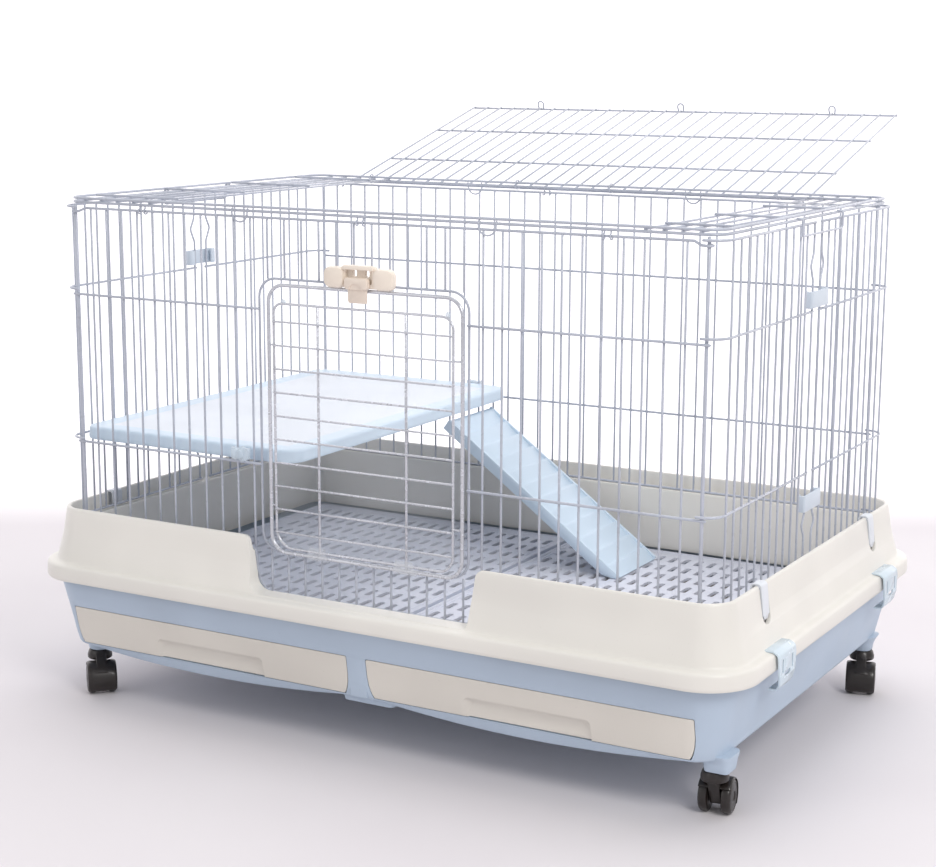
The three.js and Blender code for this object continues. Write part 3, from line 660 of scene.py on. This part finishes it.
def span(outline, x):
    """Lowest and highest Z of an outline at X."""
    found = []
    for (xa, za), (xb, zb) in zip(outline, outline[1:] + outline[:1]):
        if (xa - x) * (xb - x) <= 0 and xa != xb:
            found.append(za + (zb - za) * (x - xa) / (xb - xa))
    return min(found), max(found)


def thick(grid, depth):
    """A closed slab behind a grid of points, by depth along +Y."""
    columns, rows = len(grid), len(grid[0])
    front = [p for column in grid for p in column]
    back = [(x, y + depth, z) for x, y, z in front]
    n = len(front)
    faces = []
    for i in range(columns - 1):
        for j in range(rows - 1):
            a, b, c, d = i * rows + j, (i + 1) * rows + j, (i + 1) * rows + j + 1, i * rows + j + 1
            faces.append((a, b, c, d))
            faces.append((n + d, n + c, n + b, n + a))
    rim = [i * rows for i in range(columns)] + [(columns - 1) * rows + j for j in range(1, rows)]
    rim += [i * rows + rows - 1 for i in range(columns - 2, -1, -1)] + [j for j in range(rows - 2, 0, -1)]
    for a, b in zip(rim, rim[1:] + rim[:1]):
        faces.append((b, a, n + a, n + b))
    return front + back, faces


# ---- floor --------------------------------------------------------------------------------------
def floor_panel(s):
    """A floor of long slots in straight rows, with a plain border and a plain strip in the middle."""
    side = side_of(s)
    pitch_x, pitch_y, columns, rows = 19.4, 44.6, 21, 12
    xs = [s * (12.6 + k * pitch_x) for k in range(columns + 1)]
    ys = [-271.3 + k * pitch_y for k in range(rows + 1)]
    if s < 0:
        xs = xs[::-1]
    xs = [min(7 * s, 439 * s)] + xs + [max(7 * s, 439 * s)]
    ys = [-278.0] + ys + [278.0]
    top, low = FLOOR_Z, FLOOR_Z - 4
    verts, faces, index = [], [], {}

    def vertex(x, y, z):
        key = (round(x, 3), round(y, 3), z)
        if key not in index:
            index[key] = len(verts)
            verts.append((x, y, z))
        return index[key]

    levels = ((top, False), (low, True))
    for j, (ya, yb) in enumerate(zip(ys, ys[1:])):
        for i, (xa, xb) in enumerate(zip(xs, xs[1:])):
            slotted = 0 < j < len(ys) - 2 and 0 < i < len(xs) - 2
            corners = rectangle(xa, xb, ya, yb)
            if not slotted:
                for z, flip in levels:
                    quad = [vertex(x, y, z) for x, y in corners]
                    faces.append(tuple(quad[::-1] if flip else quad))
                continue
            hole = slot_hole((xa + xb) / 2, (ya + yb) / 2)
            for z, flip in levels:
                o = [vertex(x, y, z) for x, y in corners]
                h = [vertex(x, y, z) for x, y in hole]
                for k in range(4):
                    near, far, m = o[k], o[(k + 1) % 4], 2 * k
                    for f in ((near, far, h[m + 1], h[m]), (far, h[(m + 2) % 8], h[m + 1])):
                        faces.append(f[::-1] if flip else f)
            for a, b in zip(hole, hole[1:] + hole[:1]):
                faces.append((vertex(*b, top), vertex(*a, top), vertex(*a, low), vertex(*b, low)))
    obj = mesh_of(f"floor_{side}", Shape().add(verts, faces))
    close_sides(obj)
    rim = Shape()
    sections = ((219, 281, 6, 0.8), (219, 281, 6, -8), (215.5, 277.5, 3, -8), (215.5, 277.5, 3, 0.8))
    rim.loft([ring(hx, hy, r, top + dz, 4, s * 223) for hx, hy, r, dz in sections], wrap=True)
    for x in (8.6, 14.4):
        rim.prism(round_rect(0.7, 276, 0.5, 1, s * x, 0), top - 0.4, top + 0.7)
    finish(join(obj, mesh_of("rim", rim)), LILAC, "cage", "lilac_plastic", [f"floor_grid_{side}"])


def slot_hole(x, y):
    w, h, c = 4.1, 14.0, 2.4
    return [
        (x - w + c, y - h), (x + w - c, y - h), (x + w, y - h + c), (x + w, y + h - c),
        (x + w - c, y + h), (x - w + c, y + h), (x - w, y + h - c), (x - w, y - h + c),
    ]


def close_sides(obj):
    """Joins the open rims of a floor's top and bottom with vertical faces."""
    bm = bmesh.new()
    bm.from_mesh(obj.data)
    rim = [e for e in bm.edges if e.is_boundary]
    bmesh.ops.bridge_loops(bm, edges=rim)
    bmesh.ops.recalc_face_normals(bm, faces=bm.faces)
    bm.to_mesh(obj.data)
    bm.free()


def join(first, second):
    bm = bmesh.new()
    bm.from_mesh(first.data)
    bm.from_mesh(second.data)
    bm.to_mesh(first.data)
    bm.free()
    bpy.data.objects.remove(second)
    return first


# ---- collar -------------------------------------------------------------------------------------
RIM_X, RIM_Y, RIM_R = 475.0, 303.0, 38.0


def collar_profile():
    """(growth, height) points of the collar's section, round the whole wall and lip."""
    rim = [(-5.6, 257.6), (-5.0, 258.6), (-3.6, 259.2), (-1.8, 259.0), (-0.5, 258.0), (0.0, 256.4)]
    wall = [(1.6, 248), (3.2, 238), (5.0, 226), (8.6, 212), (12.2, 199), (14.0, 192.6), (14.8, 190.4)]
    flange = [(16.4, 188.9), (19.0, 188.4), (23.6, 187.9), (25.6, 187.2), (27.0, 185.9), (27.7, 184.0)]
    lip = [(28.2, 179), (28.5, 171.4), (28.1, 168.6), (27.0, 166.8), (25.4, 166.2), (23.4, 166.6), (22.4, 168)]
    outer = rim + wall + flange + lip
    hollow = [(22.0, 180.6), (20.4, 183.4), (12.0, 184.6), (4.6, 208), (-1, 233.6), (-3, 234.6)]
    skirt = [(-20.6, 234.6), (-13.4, 150.4), (-15.8, 150.2), (-23.2, 236), (-22.4, 238.4), (-20.8, 239.2)]
    inner = hollow + skirt + [(-8, 239.2), (-6.6, 240), (-5.8, 242)]
    return outer, inner


def collar_ring(grow, z):
    return ring(RIM_X + grow, RIM_Y + grow, RIM_R + grow, z, 14)


def notch_outline():
    """The door notch in X and Z, open at the top: its low bend is wide on the left, tight on the right."""
    left = [(-171, RIM_Z + 8), (-169.2, RIM_Z + 0.5)] + arc(-169.2, RIM_Z - 9.5, 9.5, 80, 8, 6)
    left += [(-156.6, 238), (-154.6, 222), (-152.6, 210)] + arc(-134, 208.6, 18.6, 184, 264, 8)
    right = [(146, 190)] + arc(154.5, 196.4, 6.4, -80, -4, 5) + [(162.4, 222), (164.0, 240)]
    right += arc(174, RIM_Z - 9.5, 9.5, 172, 100, 6) + [(174, RIM_Z + 8)]
    return left + right


def collar():
    outer, inner = collar_profile()
    shape = Shape().loft([collar_ring(g, z) for g, z in outer + inner], wrap=True)
    obj = mesh_of("collar", shape)
    hull = Shape().loft([collar_ring(g - 0.6, z) for g, z in outer if g > -1 and 168 < z])
    block = mesh_of("block", Shape().prism(rectangle(-178, 178, -340, -288), 168.5, LEDGE_Z - 0.5))
    boolean(block, hull, "INTERSECT")
    boolean(obj, block, "UNION", use_self=False)
    boolean(obj, Shape().prism(notch_outline(), -360, -262, "xz"))
    boolean(obj, Shape().prism(rectangle(-180, 180, 183.6, 300), -294.5, -262, "xz"))
    for s in (-1, 1):
        for y in (-SLOT_Y, SLOT_Y):
            slot = arc(y, 225, 12, 180, 360, 10) + [(y + 12, 300), (y - 12, 300)]
            boolean(obj, Shape().prism(slot, *sorted((s * 462.5, s * 500)), "yz"))
    finish(obj, IVORY, "cage", "ivory_plastic", ["collar"], bevel=1.1, angle=45, segments=3)


def strip(line, bend, steps, t, edges, spot):
    """A bent strip of half-thickness t along a line in a plane.

    edges(p, left) gives the strip's two edges at a point with so many points left to come, and
    spot(a, b, h) puts a point of the plane, and a height across it, in its place.
    """
    smooth = fillet([(a, b, 0) for a, b in line], bend, steps)
    last = len(smooth) - 1
    loops = []
    for i, p in enumerate(smooth):
        d = (smooth[min(i + 1, last)] - smooth[max(i - 1, 0)]).normalized()
        low, high = edges(p, last - i)
        loops.append([spot(p.x - d.y * t * k, p.y + d.x * t * k, h)
                      for k, h in ((1, low), (1, high), (-1, high), (-1, low))])
    return Shape().loft(loops)


def retainer(s, y):
    """The pale strap that hooks over the rim in a slot of the collar."""
    line = [(464.3, 241), (464.3, 257), (466.0, 259.8), (473.4, 259.8), (475.6, 258.2), (476.6, 252),
            (479.4, 224), (479.2, 219)]

    def edges(_, left):
        w = 9.6 - 2.5 * max(0, 2 - left)
        return y - w, y + w

    shape = strip(line, 3, 4, 1.1, edges, lambda a, b, h: (s * a, h, b))
    name = f"retainer_{side_of(s)}_{end_of(y)}"
    piece(name, shape, STRAP, "cage", "lilac_plastic", [f"collar_{name}"], bevel=0.5)


def hasp(s, y):
    """A springy clamp: a lip over the flange, a plate with three windows and a pull lip underneath."""
    body = f"collar_hasp_{side_of(s)}_{end_of(y)}"
    line = [(489, 189.6), (500, 189.6), (506.2, 186), (507.2, 178), (507.2, 158), (505.6, 149), (502, 143),
            (492, 142.4)]

    def edges(p, _):
        w = 27.0 if p.y > 166 else 27.0 - (166 - p.y) * 0.35
        return y - w, y + w

    obj = mesh_of(body, strip(line, 4, 5, 1.0, edges, lambda a, b, h: (s * a, h, b)))
    windows = [round_rect(2.0, 8.5, 1.9, 4, y + dy, 171) for dy in (-15, 15)]
    for window in windows + [round_rect(9, 2.6, 2.2, 4, y, 161)]:
        boolean(obj, Shape().prism(window, *sorted((s * 498, s * 512)), "yz"))
    finish(obj, HASP, body, "pale_blue_plastic", [body], bevel=0.5, angle=50)


# ---- wires --------------------------------------------------------------------------------------
def upright(n):
    return -HALF_W + n * PITCH


def post(shape, n, y):
    """An upright wire from the sill to the top rail, thicker and taller at the corners."""
    corner = n in (0, BAYS)
    top = TOP_Z + (4 if corner else 0)
    shape.bar((upright(n), y, SILL_Z), (upright(n), y, top), POST_R if corner else THIN_R)


def back_panel():
    y = HALF_D
    shape = Shape()
    for n in range(BAYS + 1):
        post(shape, n, y)
    for z, yy in ((SILL_Z, y), (TOP_Z, y), (LOW_Z, y + 2.6), (MID_Z, y + 2.6)):
        shape.bar((-HALF_W - 3, yy, z), (HALF_W + 3, yy, z), WIRE_R)
    piece("wire_back", shape, WIRE, "cage", "coated_wire", ["wire_panel_back"])


def front_panel():
    y = -HALF_D
    shape = Shape()
    for n in range(BAYS + 1):
        x = upright(n)
        if abs(x - OPENING_X) > OPENING_HX:
            post(shape, n, y)
        else:
            shape.bar((x, y, OPENING_TOP), (x, y, TOP_Z), THIN_R)
            shape.bar((x, y, NOTCH_Z), (x, y, OPENING_LOW), THIN_R)
    bottom = []
    mid, half = (OPENING_TOP + OPENING_LOW) / 2, (OPENING_TOP - OPENING_LOW) / 2
    loop = round_rect(OPENING_HX, half, OPENING_R, 8, OPENING_X, mid)
    shape.tube([(x, y, z) for x, z in loop], WIRE_R, closed=True)
    for s in (-1, 1):
        for z in (LOW_Z, MID_Z):
            shape.bar((s * (HALF_W + 5), y - 2.6, z), (s * (OPENING_HX - 0.5) + OPENING_X, y - 2.6, z), WIRE_R)
        dip = [(HALF_W + 2, SILL_Z), (172, SILL_Z), (163, LEDGE_Z - 2), (160, 214), (156, 196), (146, NOTCH_Z),
               (130, NOTCH_Z)]
        bottom.append([(s * x, y, z) for x, z in dip])
    outline = bottom[0] + bottom[1][::-1]
    shape.tube(fillet(outline, 9, 5), WIRE_R)
    curl = ((1, 3.6, 4), (5.5, 0, 4.5), (1, -4.2, 4.6), (-8, -3, 4), (-17, 0, 0))
    top = [(-HALF_W - out, y + dy, TOP_Z - drop) for out, dy, drop in curl]
    top += [(-x, yy, z) for x, yy, z in top[::-1]]
    shape.tube(fillet(top, 4, 5), WIRE_R)
    piece("wire_front", shape, WIRE, "cage", "coated_wire", ["wire_panel_front"])


def side_half(sx, sy):
    half = f"{side_of(sx)}_{end_of(sy)}"
    shape = Shape()
    x = sx * SIDE_X
    levels = [z + lift for z, lift in zip((SILL_Z, LOW_Z, MID_Z, TOP_Z), SIDE_LIFT)]
    for k in range(1, 12):
        y = sy * (14.2 + 22.9 * k)
        shape.bar((x, y, levels[0]), (x, y, levels[3]), THIN_R)
    narrow, wide = 13.2, 22.0
    zig = [(narrow, levels[0]), (narrow, 273), (narrow + 2, 278), (wide, 288), (narrow, 303), (narrow, 586),
           (wide, 604), (narrow + 1, 618), (narrow, 626), (narrow, levels[3])]
    shape.tube(fillet([(x, sy * w, z) for w, z in zig], 7, 5), THIN_R)
    for z in levels:
        path = [(x, sy * 10, z), (x, sy * 268, z)]
        path += [(sx * px, sy * py, z) for px, py in arc(SIDE_X - 22, 268, 22, 8, 90, 7)]
        path += [(sx * (HALF_W - 5), sy * 290, z)]
        shape.tube(path, WIRE_R)
    piece(f"wire_{half}", shape, WIRE, "cage", "coated_wire", [f"wire_panel_{half}"])


def side_clip(s, z, which):
    name = f"side_clip_{side_of(s)}_{which}"
    x0 = SIDE_X - 5
    x1 = SIDE_X + 6
    outer = round_rect((x1 - x0) / 2, 29, 3, 5, s * (x0 + x1) / 2, 0)
    obj = mesh_of(name, Shape().prism(outer, z - 10, z + 10, edge=0.8))
    inner = round_rect(2.8, 26.4, 2.2, 4, s * (SIDE_X + 0.2), 0)
    boolean(obj, Shape().prism(inner, z - 20, z + 20))
    mouth = rectangle(*sorted((s * (x0 - 3), s * (SIDE_X - 1))), -19, 19)
    boolean(obj, Shape().prism(mouth, z - 20, z + 20))
    finish(obj, CLIP, name, "pale_blue_plastic", [name], bevel=0.5, angle=50)


def roof_frame():
    shape = Shape()
    outline = round_rect(452, HALF_D, 24, 7)
    for z in (ROOF_Z - 2.6, ROOF_Z + 2.6):
        shape.tube([(x, y, z) for x, y in outline], 1.75, closed=True)
    for x in [-318 - 26 * k for k in range(5)] + [362 + 22 * k for k in range(4)]:
        shape.bar((x, -HALF_D, ROOF_Z), (x, HALF_D, ROOF_Z), THIN_R)
    for y in (-227, -85, 69, 227):
        shape.bar((-452, y, ROOF_Z + 2.4), (-317, y, ROOF_Z + 2.4), WIRE_R)
        shape.bar((361, y, ROOF_Z + 2.4), (452, y, ROOF_Z + 2.4), WIRE_R)
    for sy, places in ((-1, (-177, 168)), (1, (-171, 175))):
        for x in places:
            bow = [(x + dx, sy * (HALF_D + 1.5), ROOF_Z - 5 + dz) for dx, dz in arc(0, 0, 11.5, 180, 360, 12)]
            ends = [(x + dx, sy * HALF_D, ROOF_Z) for dx in (-11.5, 11.5)]
            shape.tube([ends[0], *bow, ends[1]], 1.1, sides=8)
    for sy, places in ((-1, (-328, -3, 318)), (1, (-407, -52, 330))):
        for x in places:
            for dx in (-4, 4):
                hook = [(x + dx * (1 + 0.25 * i / 8), sy * HALF_D + dy, TOP_Z - 0.4 + dz)
                        for i, (dy, dz) in enumerate(arc(0, 0, 3.2, 90, 90 - sy * 230, 8))]
                shape.tube([(x + dx, sy * HALF_D, ROOF_Z - 2)] + hook, 1.0, sides=8)
    piece("roof_frame", shape, WIRE, "cage", "coated_wire", ["roof_frame"])


def lid():
    """Built closed, hinge on the X axis and wires towards -Y, then swung back as it stands open."""
    shape = Shape()
    rise, reach, open_angle = 6.4, 396.5, 180 - 15.3
    xs = [-387.5 + k * PITCH for k in range(30)]
    for x in xs:
        shape.bar((x, -8, rise), (x, -reach, rise), THIN_R)
    for y in (9, 121, 270, reach):
        shape.bar((xs[0] - 1, -y, rise + 1.8), (xs[-1] + 1, -y, rise + 1.8), WIRE_R)
    for x in (-262.5, -12.5, 237.5):
        loop = [(-4, 0), (-5, -4)] + [(dx, dz - 6.5) for dx, dz in arc(0, 0, 5, 180, 360, 10)] + [(4, 0)]
        shape.tube([(x + dx, -reach, rise + dz) for dx, dz in loop], 1.2, sides=8)
    for x in (-350, -100, 50, 300):
        hook = [(x, dy, dz) for dy, dz in arc(0, 0, 6.4, 90, -150, 14)]
        shape.tube([(x, -9, rise)] + hook, 1.0, sides=8)
    turn = Matrix.Rotation(-math.radians(open_angle), 3, "X")
    hinge = Vector((0, HALF_D, ROOF_Z))
    shape.verts = [tuple(turn @ Vector(v) + hinge) for v in shape.verts]
    piece("roof_lid", shape, WIRE, "lid", "coated_wire", ["roof_lid"])


def bail(s):
    name = f"roof_bail_{side_of(s)}"
    arm = [(456.2, 0), (463.5, 0), (463.5, -20)]
    path = [(s * x, -70, ROOF_Z + dz) for x, dz in arm] + [(s * x, 70, ROOF_Z + dz) for x, dz in arm[::-1]]
    piece(name, Shape().tube(fillet(path, 4, 5), 1.4), WIRE, name, "coated_wire", [name])


# ---- door ---------------------------------------------------------------------------------------
DOOR_X, DOOR_Y = 4.0, -291.6
DOOR_HX, DOOR_LOW, DOOR_TOP = 136, 241, 573.5
GRID_X, GRID_HX, GRID_LOW, GRID_TOP = 1.5, 126, 247, 551


def door():
    mid, half = (DOOR_LOW + DOOR_TOP) / 2, (DOOR_TOP - DOOR_LOW) / 2
    shape = Shape()
    frame_line = [(DOOR_X + x, DOOR_Y, mid + z) for x, z in round_rect(DOOR_HX, half, 22, 9)]
    shape.tube(frame_line, 2.35, closed=True, sides=14)
    inner_mid, inner_half = (GRID_TOP + GRID_LOW) / 2, (GRID_TOP - GRID_LOW) / 2
    outline = []
    for sx, sz, r, start in ((1, -1, 20, -90), (1, 1, 15, 0), (-1, 1, 12, 90), (-1, -1, 24, 180)):
        outline += arc(GRID_X + sx * (GRID_HX - r), inner_mid + sz * (inner_half - r), r, start, start + 90, 8)
    shape.tube([(x, DOOR_Y, z) for x, z in outline], 1.6, closed=True, sides=12)
    for k in range(10):
        z = 529 - k * 29.1
        shape.bar((GRID_X - GRID_HX, DOOR_Y - 2.2, z), (GRID_X + GRID_HX, DOOR_Y - 2.2, z), 1.25)
    for s in (-1, 1):
        x = GRID_X + s * 62
        shape.bar((x, DOOR_Y, DOOR_LOW), (x, DOOR_Y, GRID_TOP), 1.7)
        for z in (300, 500):
            shape.bar((GRID_X + s * GRID_HX, DOOR_Y, z), (DOOR_X + s * DOOR_HX, DOOR_Y, z), 1.2)
    piece("door_frame", shape, DOOR_WIRE, "door", "white_wire", ["door_frame"])

    outline = round_rect(132.5, half - 3.5, 18, 8, DOOR_X, mid)
    plate = mesh_of("door_plate", Shape().prism(outline, DOOR_Y + 2.7, DOOR_Y + 4.0, "xz"))
    finish(plate, CLEAR, "door", "clear_plastic", ["door_plate"])
    rivets = Shape()
    head = [(0, 0), (2.6, 0.2), (3.4, 1.0), (3.4, 1.8), (0, 1.8)]
    for x in (119, -111):
        rivets.turned(head, (x, DOOR_Y + 0.8, 553), (0, 1, 0), 20)
    piece("door_rivets", rivets, KNOB, "door", "clear_plastic")

    section = ((-4.0, 254), (-4.2, 240), (-2.6, 237.2), (0.6, 236.8), (2.2, 237.6))
    line = [(DOOR_Y + dy, z) for dy, z in section]
    for s in (-1, 1):
        def edges(p, _):
            trim = max(0.0, p.y - 249) * 0.7
            return s * 62 - 15 + trim, s * 62 + 15 - trim

        name = f"door_cuff_{side_of(s)}"
        cuff = strip(line, 2, 4, 0.6, edges, lambda a, b, h: (h, a, b))
        piece(name, cuff, CUFF, "door", "clear_plastic", [name], bevel=0.3)


def latch():
    y = -HALF_D - 3
    x0 = 2.5

    def slab(outline, front, back, edge=0.0):
        """A plate in X and Z, between two depths in front of the latch's back."""
        return Shape().prism(outline, y - front, y - back, "xz", edge=edge)

    body = mesh_of("latch_body", slab(round_rect(46, 12.2, 8, 6, x0, 589), 9, 0, 2.0))
    for s in (-1, 1):
        boolean(body, slab(round_rect(14, 12.6, 8, 7, x0 + s * 34.5, 588.6), 13.6, 2, 3.6), "UNION")
    boolean(body, slab(round_rect(21.5, 3.0, 2.4, 5, x0 - 1, 601), 12.4, 1, 1.4), "UNION")
    boolean(body, slab(round_rect(18.5, 8.5, 3, 5, x0 - 1, 590.5), 20, 4.6))
    for x in (-9, 8.5):
        boolean(body, slab(round_rect(2.9, 4.3, 2.7, 6, x0 + x, 594.3), 20, -2))
    boolean(body, slab(round_rect(5.8, 6, 1, 2, 0, 583), 20, -2))
    finish(body, CREAM, "cage", "cream_plastic", ["door_latch_body"], bevel=0.7, angle=45, segments=3)

    slider = mesh_of("latch_slider", slab(round_rect(16.5, 7.4, 4.4, 6, 0.5, 582.6), 15.8, 6.6, 2.8))
    boolean(slider, Shape().turned([(0.05, 0), (9, 0), (9, 3), (0.05, 3)], (0.5, y - 17.2, 574), (0, 1, 0), 32))
    tongue = [(-10, 559.5), (13, 559.5), (14, 561), (14, 580), (-12, 580), (-12, 563), (-11.4, 561)]
    boolean(slider, slab(tongue, 12.2, 9.2, 0.6), "UNION")
    boolean(slider, slab(round_rect(5.2, 4, 1, 2, 0, 585), 9, 0.6), "UNION")
    finish(slider, CREAM_DARK, "latch", "cream_plastic", ["door_latch_slider"], bevel=0.5, angle=50, segments=3)


# ---- platform and ramp ---------------------------------------------------------------------------
def platform():
    cx, hx, hy, r = -276.5, 170.5, 279, 26
    z0, z1 = 349.9, 366.5

    def loop(inset, z):
        return ring(hx - inset, hy - inset, max(r - inset, 1.2), z, 10, cx, 0)

    under = [(6.0, z1 - 5.4), (4.2, z1 - 6.2), (4.0, z0)]
    edge = [(1.2, z0), (0.4, z0 + 0.4), (0.2, z0 + 1.4), (0.0, z0 + 4), (0.6, z0 + 5.2), (0.8, z1 - 4.4)]
    border = [(1.4, z1 - 2.2), (2.8, z1 - 0.8), (5.0, z1 - 0.15), (7.5, z1), (24, z1)]
    dish = [(27, z1 - 0.3), (30.0, z1 - 0.8), (33, z1 - 1.2), (36, z1 - 1.4)]
    obj = mesh_of("platform", Shape().loft([loop(i, z) for i, z in under + edge + border + dish]))
    ribs = Shape()
    for x in (-385, -277, -170):
        ribs.prism(round_rect(1.2, hy - 6, 0.5, 1, x, 0), z0 + 4, z1 - 4)
    for y in (-180, -60, 60, 180):
        ribs.prism(round_rect(hx - 6, 1.2, 0.5, 1, cx, y), z0 + 4, z1 - 4)
    join(obj, mesh_of("ribs", ribs))
    finish(obj, SHELF, "cage", "pale_blue_plastic", ["platform"])
    # Painted light: the upward faces of the flat centre get the paler second material, as light painted on the
    # top.
    obj.data.materials.append(PAINTED_LIGHT_CENTRE)
    for face in obj.data.polygons:
        c = face.center * 1000
        in_painted_light = abs(c.x - cx) < hx - 30 and abs(c.y - CAGE_Y) < hy - 30
        if in_painted_light and face.normal.z > 0.9 and c.z > z1 - 3:
            face.material_index = 1


def ramp():
    """A ribbed plank with side rails, from under the platform's edge down to the floor."""
    x0, z0, x1, z1 = -113, 341, 155, 149.5
    length = math.hypot(x1 - x0, z1 - z0)
    slope = math.atan2(z1 - z0, x1 - x0)
    y_mid, half = 170, 62
    profile = [(0.0, 0.0)]
    treads = 12
    tread = ((0.1, 0.0), (0.14, 2.2), (0.22, 2.7), (0.3, 2.4), (0.6, 0.9), (0.96, 0.0))
    for k in range(treads):
        profile += [(length * k / treads + length / treads * u, rise) for u, rise in tread]
    profile += [(length, 0.0), (length, -4.0), (length - 2, -5.0), (0.0, -5.0)]
    shape = Shape().loft([[(a, y, b) for a, b in profile] for y in (-half + 3, half - 3)])
    rail = [(0, -13), (length - 22, -13), (length - 8, -8), (length - 1, -4.5), (length, 1.2),
            (length - 2, 3.2), (0, 3.2)]
    for s in (-1, 1):
        rows = []
        for t, grow in ((0, 0.5), (0.5, 0), (3.5, 0), (4.0, 0.5)):
            y = s * (half - 4 + t)
            rows.append([(a, y, b + (grow if b < 0 else -grow)) for a, b in rail])
        shape.loft(rows)
    turned = []
    for a, y, b in shape.verts:
        x = x0 + a * math.cos(slope) - b * math.sin(slope)
        z = z0 + a * math.sin(slope) + b * math.cos(slope)
        turned.append((x, y + y_mid, max(z, FLOOR_Z + 0.9)))
    shape.verts = turned
    piece("ramp", shape, SHELF, "ramp", "pale_blue_plastic", ["ramp"], bevel=0.4, angle=50)


def knob(s):
    """A wing knob that clamps the platform to the cage."""
    name = f"platform_knob_{end_of(s)}"
    x, y, z = -175, s * (HALF_D + 5), 359
    profile = [(0, 0), (8.5, 0), (9.5, 0.8), (9.5, 4.2), (7.0, 5.6), (6.2, 9), (5.2, 10.4), (0, 10.8)]
    shape = Shape().turned(profile, (x, y, z), (0, s, 0), 32)
    wing = ((3, 5.5), (8, 8.5), (12.4, 8.8), (13, 5), (12.4, -5), (8, -7), (3, -5.5))
    for t in (-1, 1):
        outline = [(x + t * a, z + b) for a, b in wing][::t]
        shape.prism(outline, *sorted((y + s * 2.4, y + s * 9.6)), "xz", edge=1.2)
    piece(name, shape, KNOB, name, "clear_plastic", [name], bevel=0.4)


# ---- casters ------------------------------------------------------------------------------------
WHEEL_R, TRAIL, HUB, WHEEL_W = 20.5, 15.0, 7.0, 12.0


def at_caster(shape, corner):
    """Turns a shape to a caster's heading and moves it there."""
    sx, sy, yaw = CASTERS[corner]
    turn = Matrix.Rotation(math.radians(yaw), 3, "Z")
    foot = Vector((sx * CASTER_X + CASTER_SHIFT, sy * CASTER_Y, 0))
    shape.verts = [tuple(turn @ Vector(v) + foot) for v in shape.verts]
    return shape


def wheel(corner, t, which):
    name = f"caster_wheel_{corner}_{which}"
    w = WHEEL_W
    rim = [(4.3, 0.0), (15.0, 0.0), (18.8, 0.4), (20.1, 1.4), (20.5, 3.0), (20.5, w - 4.2), (20.1, w - 2.6)]
    shoulder = [(18.9, w - 1.2), (17.3, w - 0.5), (16.6, w - 1.1), (15.6, w - 1.3), (14.4, w - 1.0)]
    hub = [(8.2, w), (6.2, w - 0.7), (5.6, w - 1.4), (0.05, w - 1.4)]
    x = t * (HUB + 0.6)
    shape = Shape().turned(rim + shoulder + hub, (x, -TRAIL, WHEEL_R), (t, 0, 0), 48)
    for k in range(5):
        a = math.radians(72 * k)
        stud = (t * (HUB + 0.6 + w - 1.5), -TRAIL + 11.2 * math.cos(a), WHEEL_R + 11.2 * math.sin(a))
        shape.turned([(0.05, 0), (1.5, 0), (1.3, 0.9), (0.05, 1.0)], stud, (t, 0, 0), 12)
    piece(name, at_caster(shape, corner), BLACK, name, "black_plastic", [name])


def caster(corner):
    for t, which in ((-1, "a"), (1, "b")):
        wheel(corner, t, which)

    loops = []
    edge = ((11, 0.0), (16.5, 0.2), (18.4, 0.8), (19.2, 1.9))
    for x, drop in [(-x, drop) for x, drop in edge[::-1]] + list(edge):
        cover = arc(-TRAIL, WHEEL_R, 22.7 - drop, 222, 38, 24)
        under = arc(-TRAIL, WHEEL_R, 21.4 - drop * 0.45, 38, 222, 24)
        loops.append([(x, a, b) for a, b in cover + under])
    fork = mesh_of(f"caster_fork_{corner}", at_caster(Shape().loft(loops), corner))
    web = [(-14, -8), (8, -8), (16, 6), (24, 22), (25, 35.8), (5, 35.8), (-6, 26), (-20, 12)]
    web = Shape().prism([(-TRAIL + a, WHEEL_R + b) for a, b in web], -6.6, 6.6, "yz", edge=1.0)
    boolean(fork, at_caster(web, corner), "UNION")
    cap = [(0.05, 44), (15.5, 44), (16.4, 45.2), (16.4, 49), (14.6, 54.6), (13.4, 56.3), (0.05, 56.3)]
    boolean(fork, at_caster(Shape().turned(cap, (0, 0, 0)), corner), "UNION")
    finish(fork, BLACK, f"caster_{corner}", "black_plastic", [f"caster_fork_{corner}"], bevel=0.5, angle=50)
    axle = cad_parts[f"caster_axle_{corner}"].data.materials
    axle.clear()
    axle.append(STEEL)


def brake():
    """The tab on the front right caster."""
    side = [(-23, 46.8), (-25, 45.2), (-30, 48), (-36, 53), (-37.4, 57), (-34, 58.6), (-30.5, 57.6), (-27, 52)]
    shape = at_caster(Shape().prism(side, -6, 6, "yz", edge=0.8), "front_right")
    replaced = ["caster_brake_front_right"]
    piece("caster_brake", shape, BLACK, "caster_brake", "black_plastic", replaced, bevel=0.4)


# ---- assembly -----------------------------------------------------------------------------------
camera_and_light()
stage()
base()
for s in (-1, 1):
    drawer(s)
    floor_panel(s)
collar()
for s in (-1, 1):
    for y in (-SLOT_Y, SLOT_Y):
        retainer(s, y)
        hasp(s, y)
back_panel()
front_panel()
for sx in (-1, 1):
    for sy in (-1, 1):
        side_half(sx, sy)
    side_clip(sx, 564, "upper")
    side_clip(sx, 317, "lower")
    bail(sx)
roof_frame()
lid()
door()
latch()
platform()
ramp()
for s in (-1, 1):
    knob(s)
for corner in CASTERS:
    caster(corner)
brake()
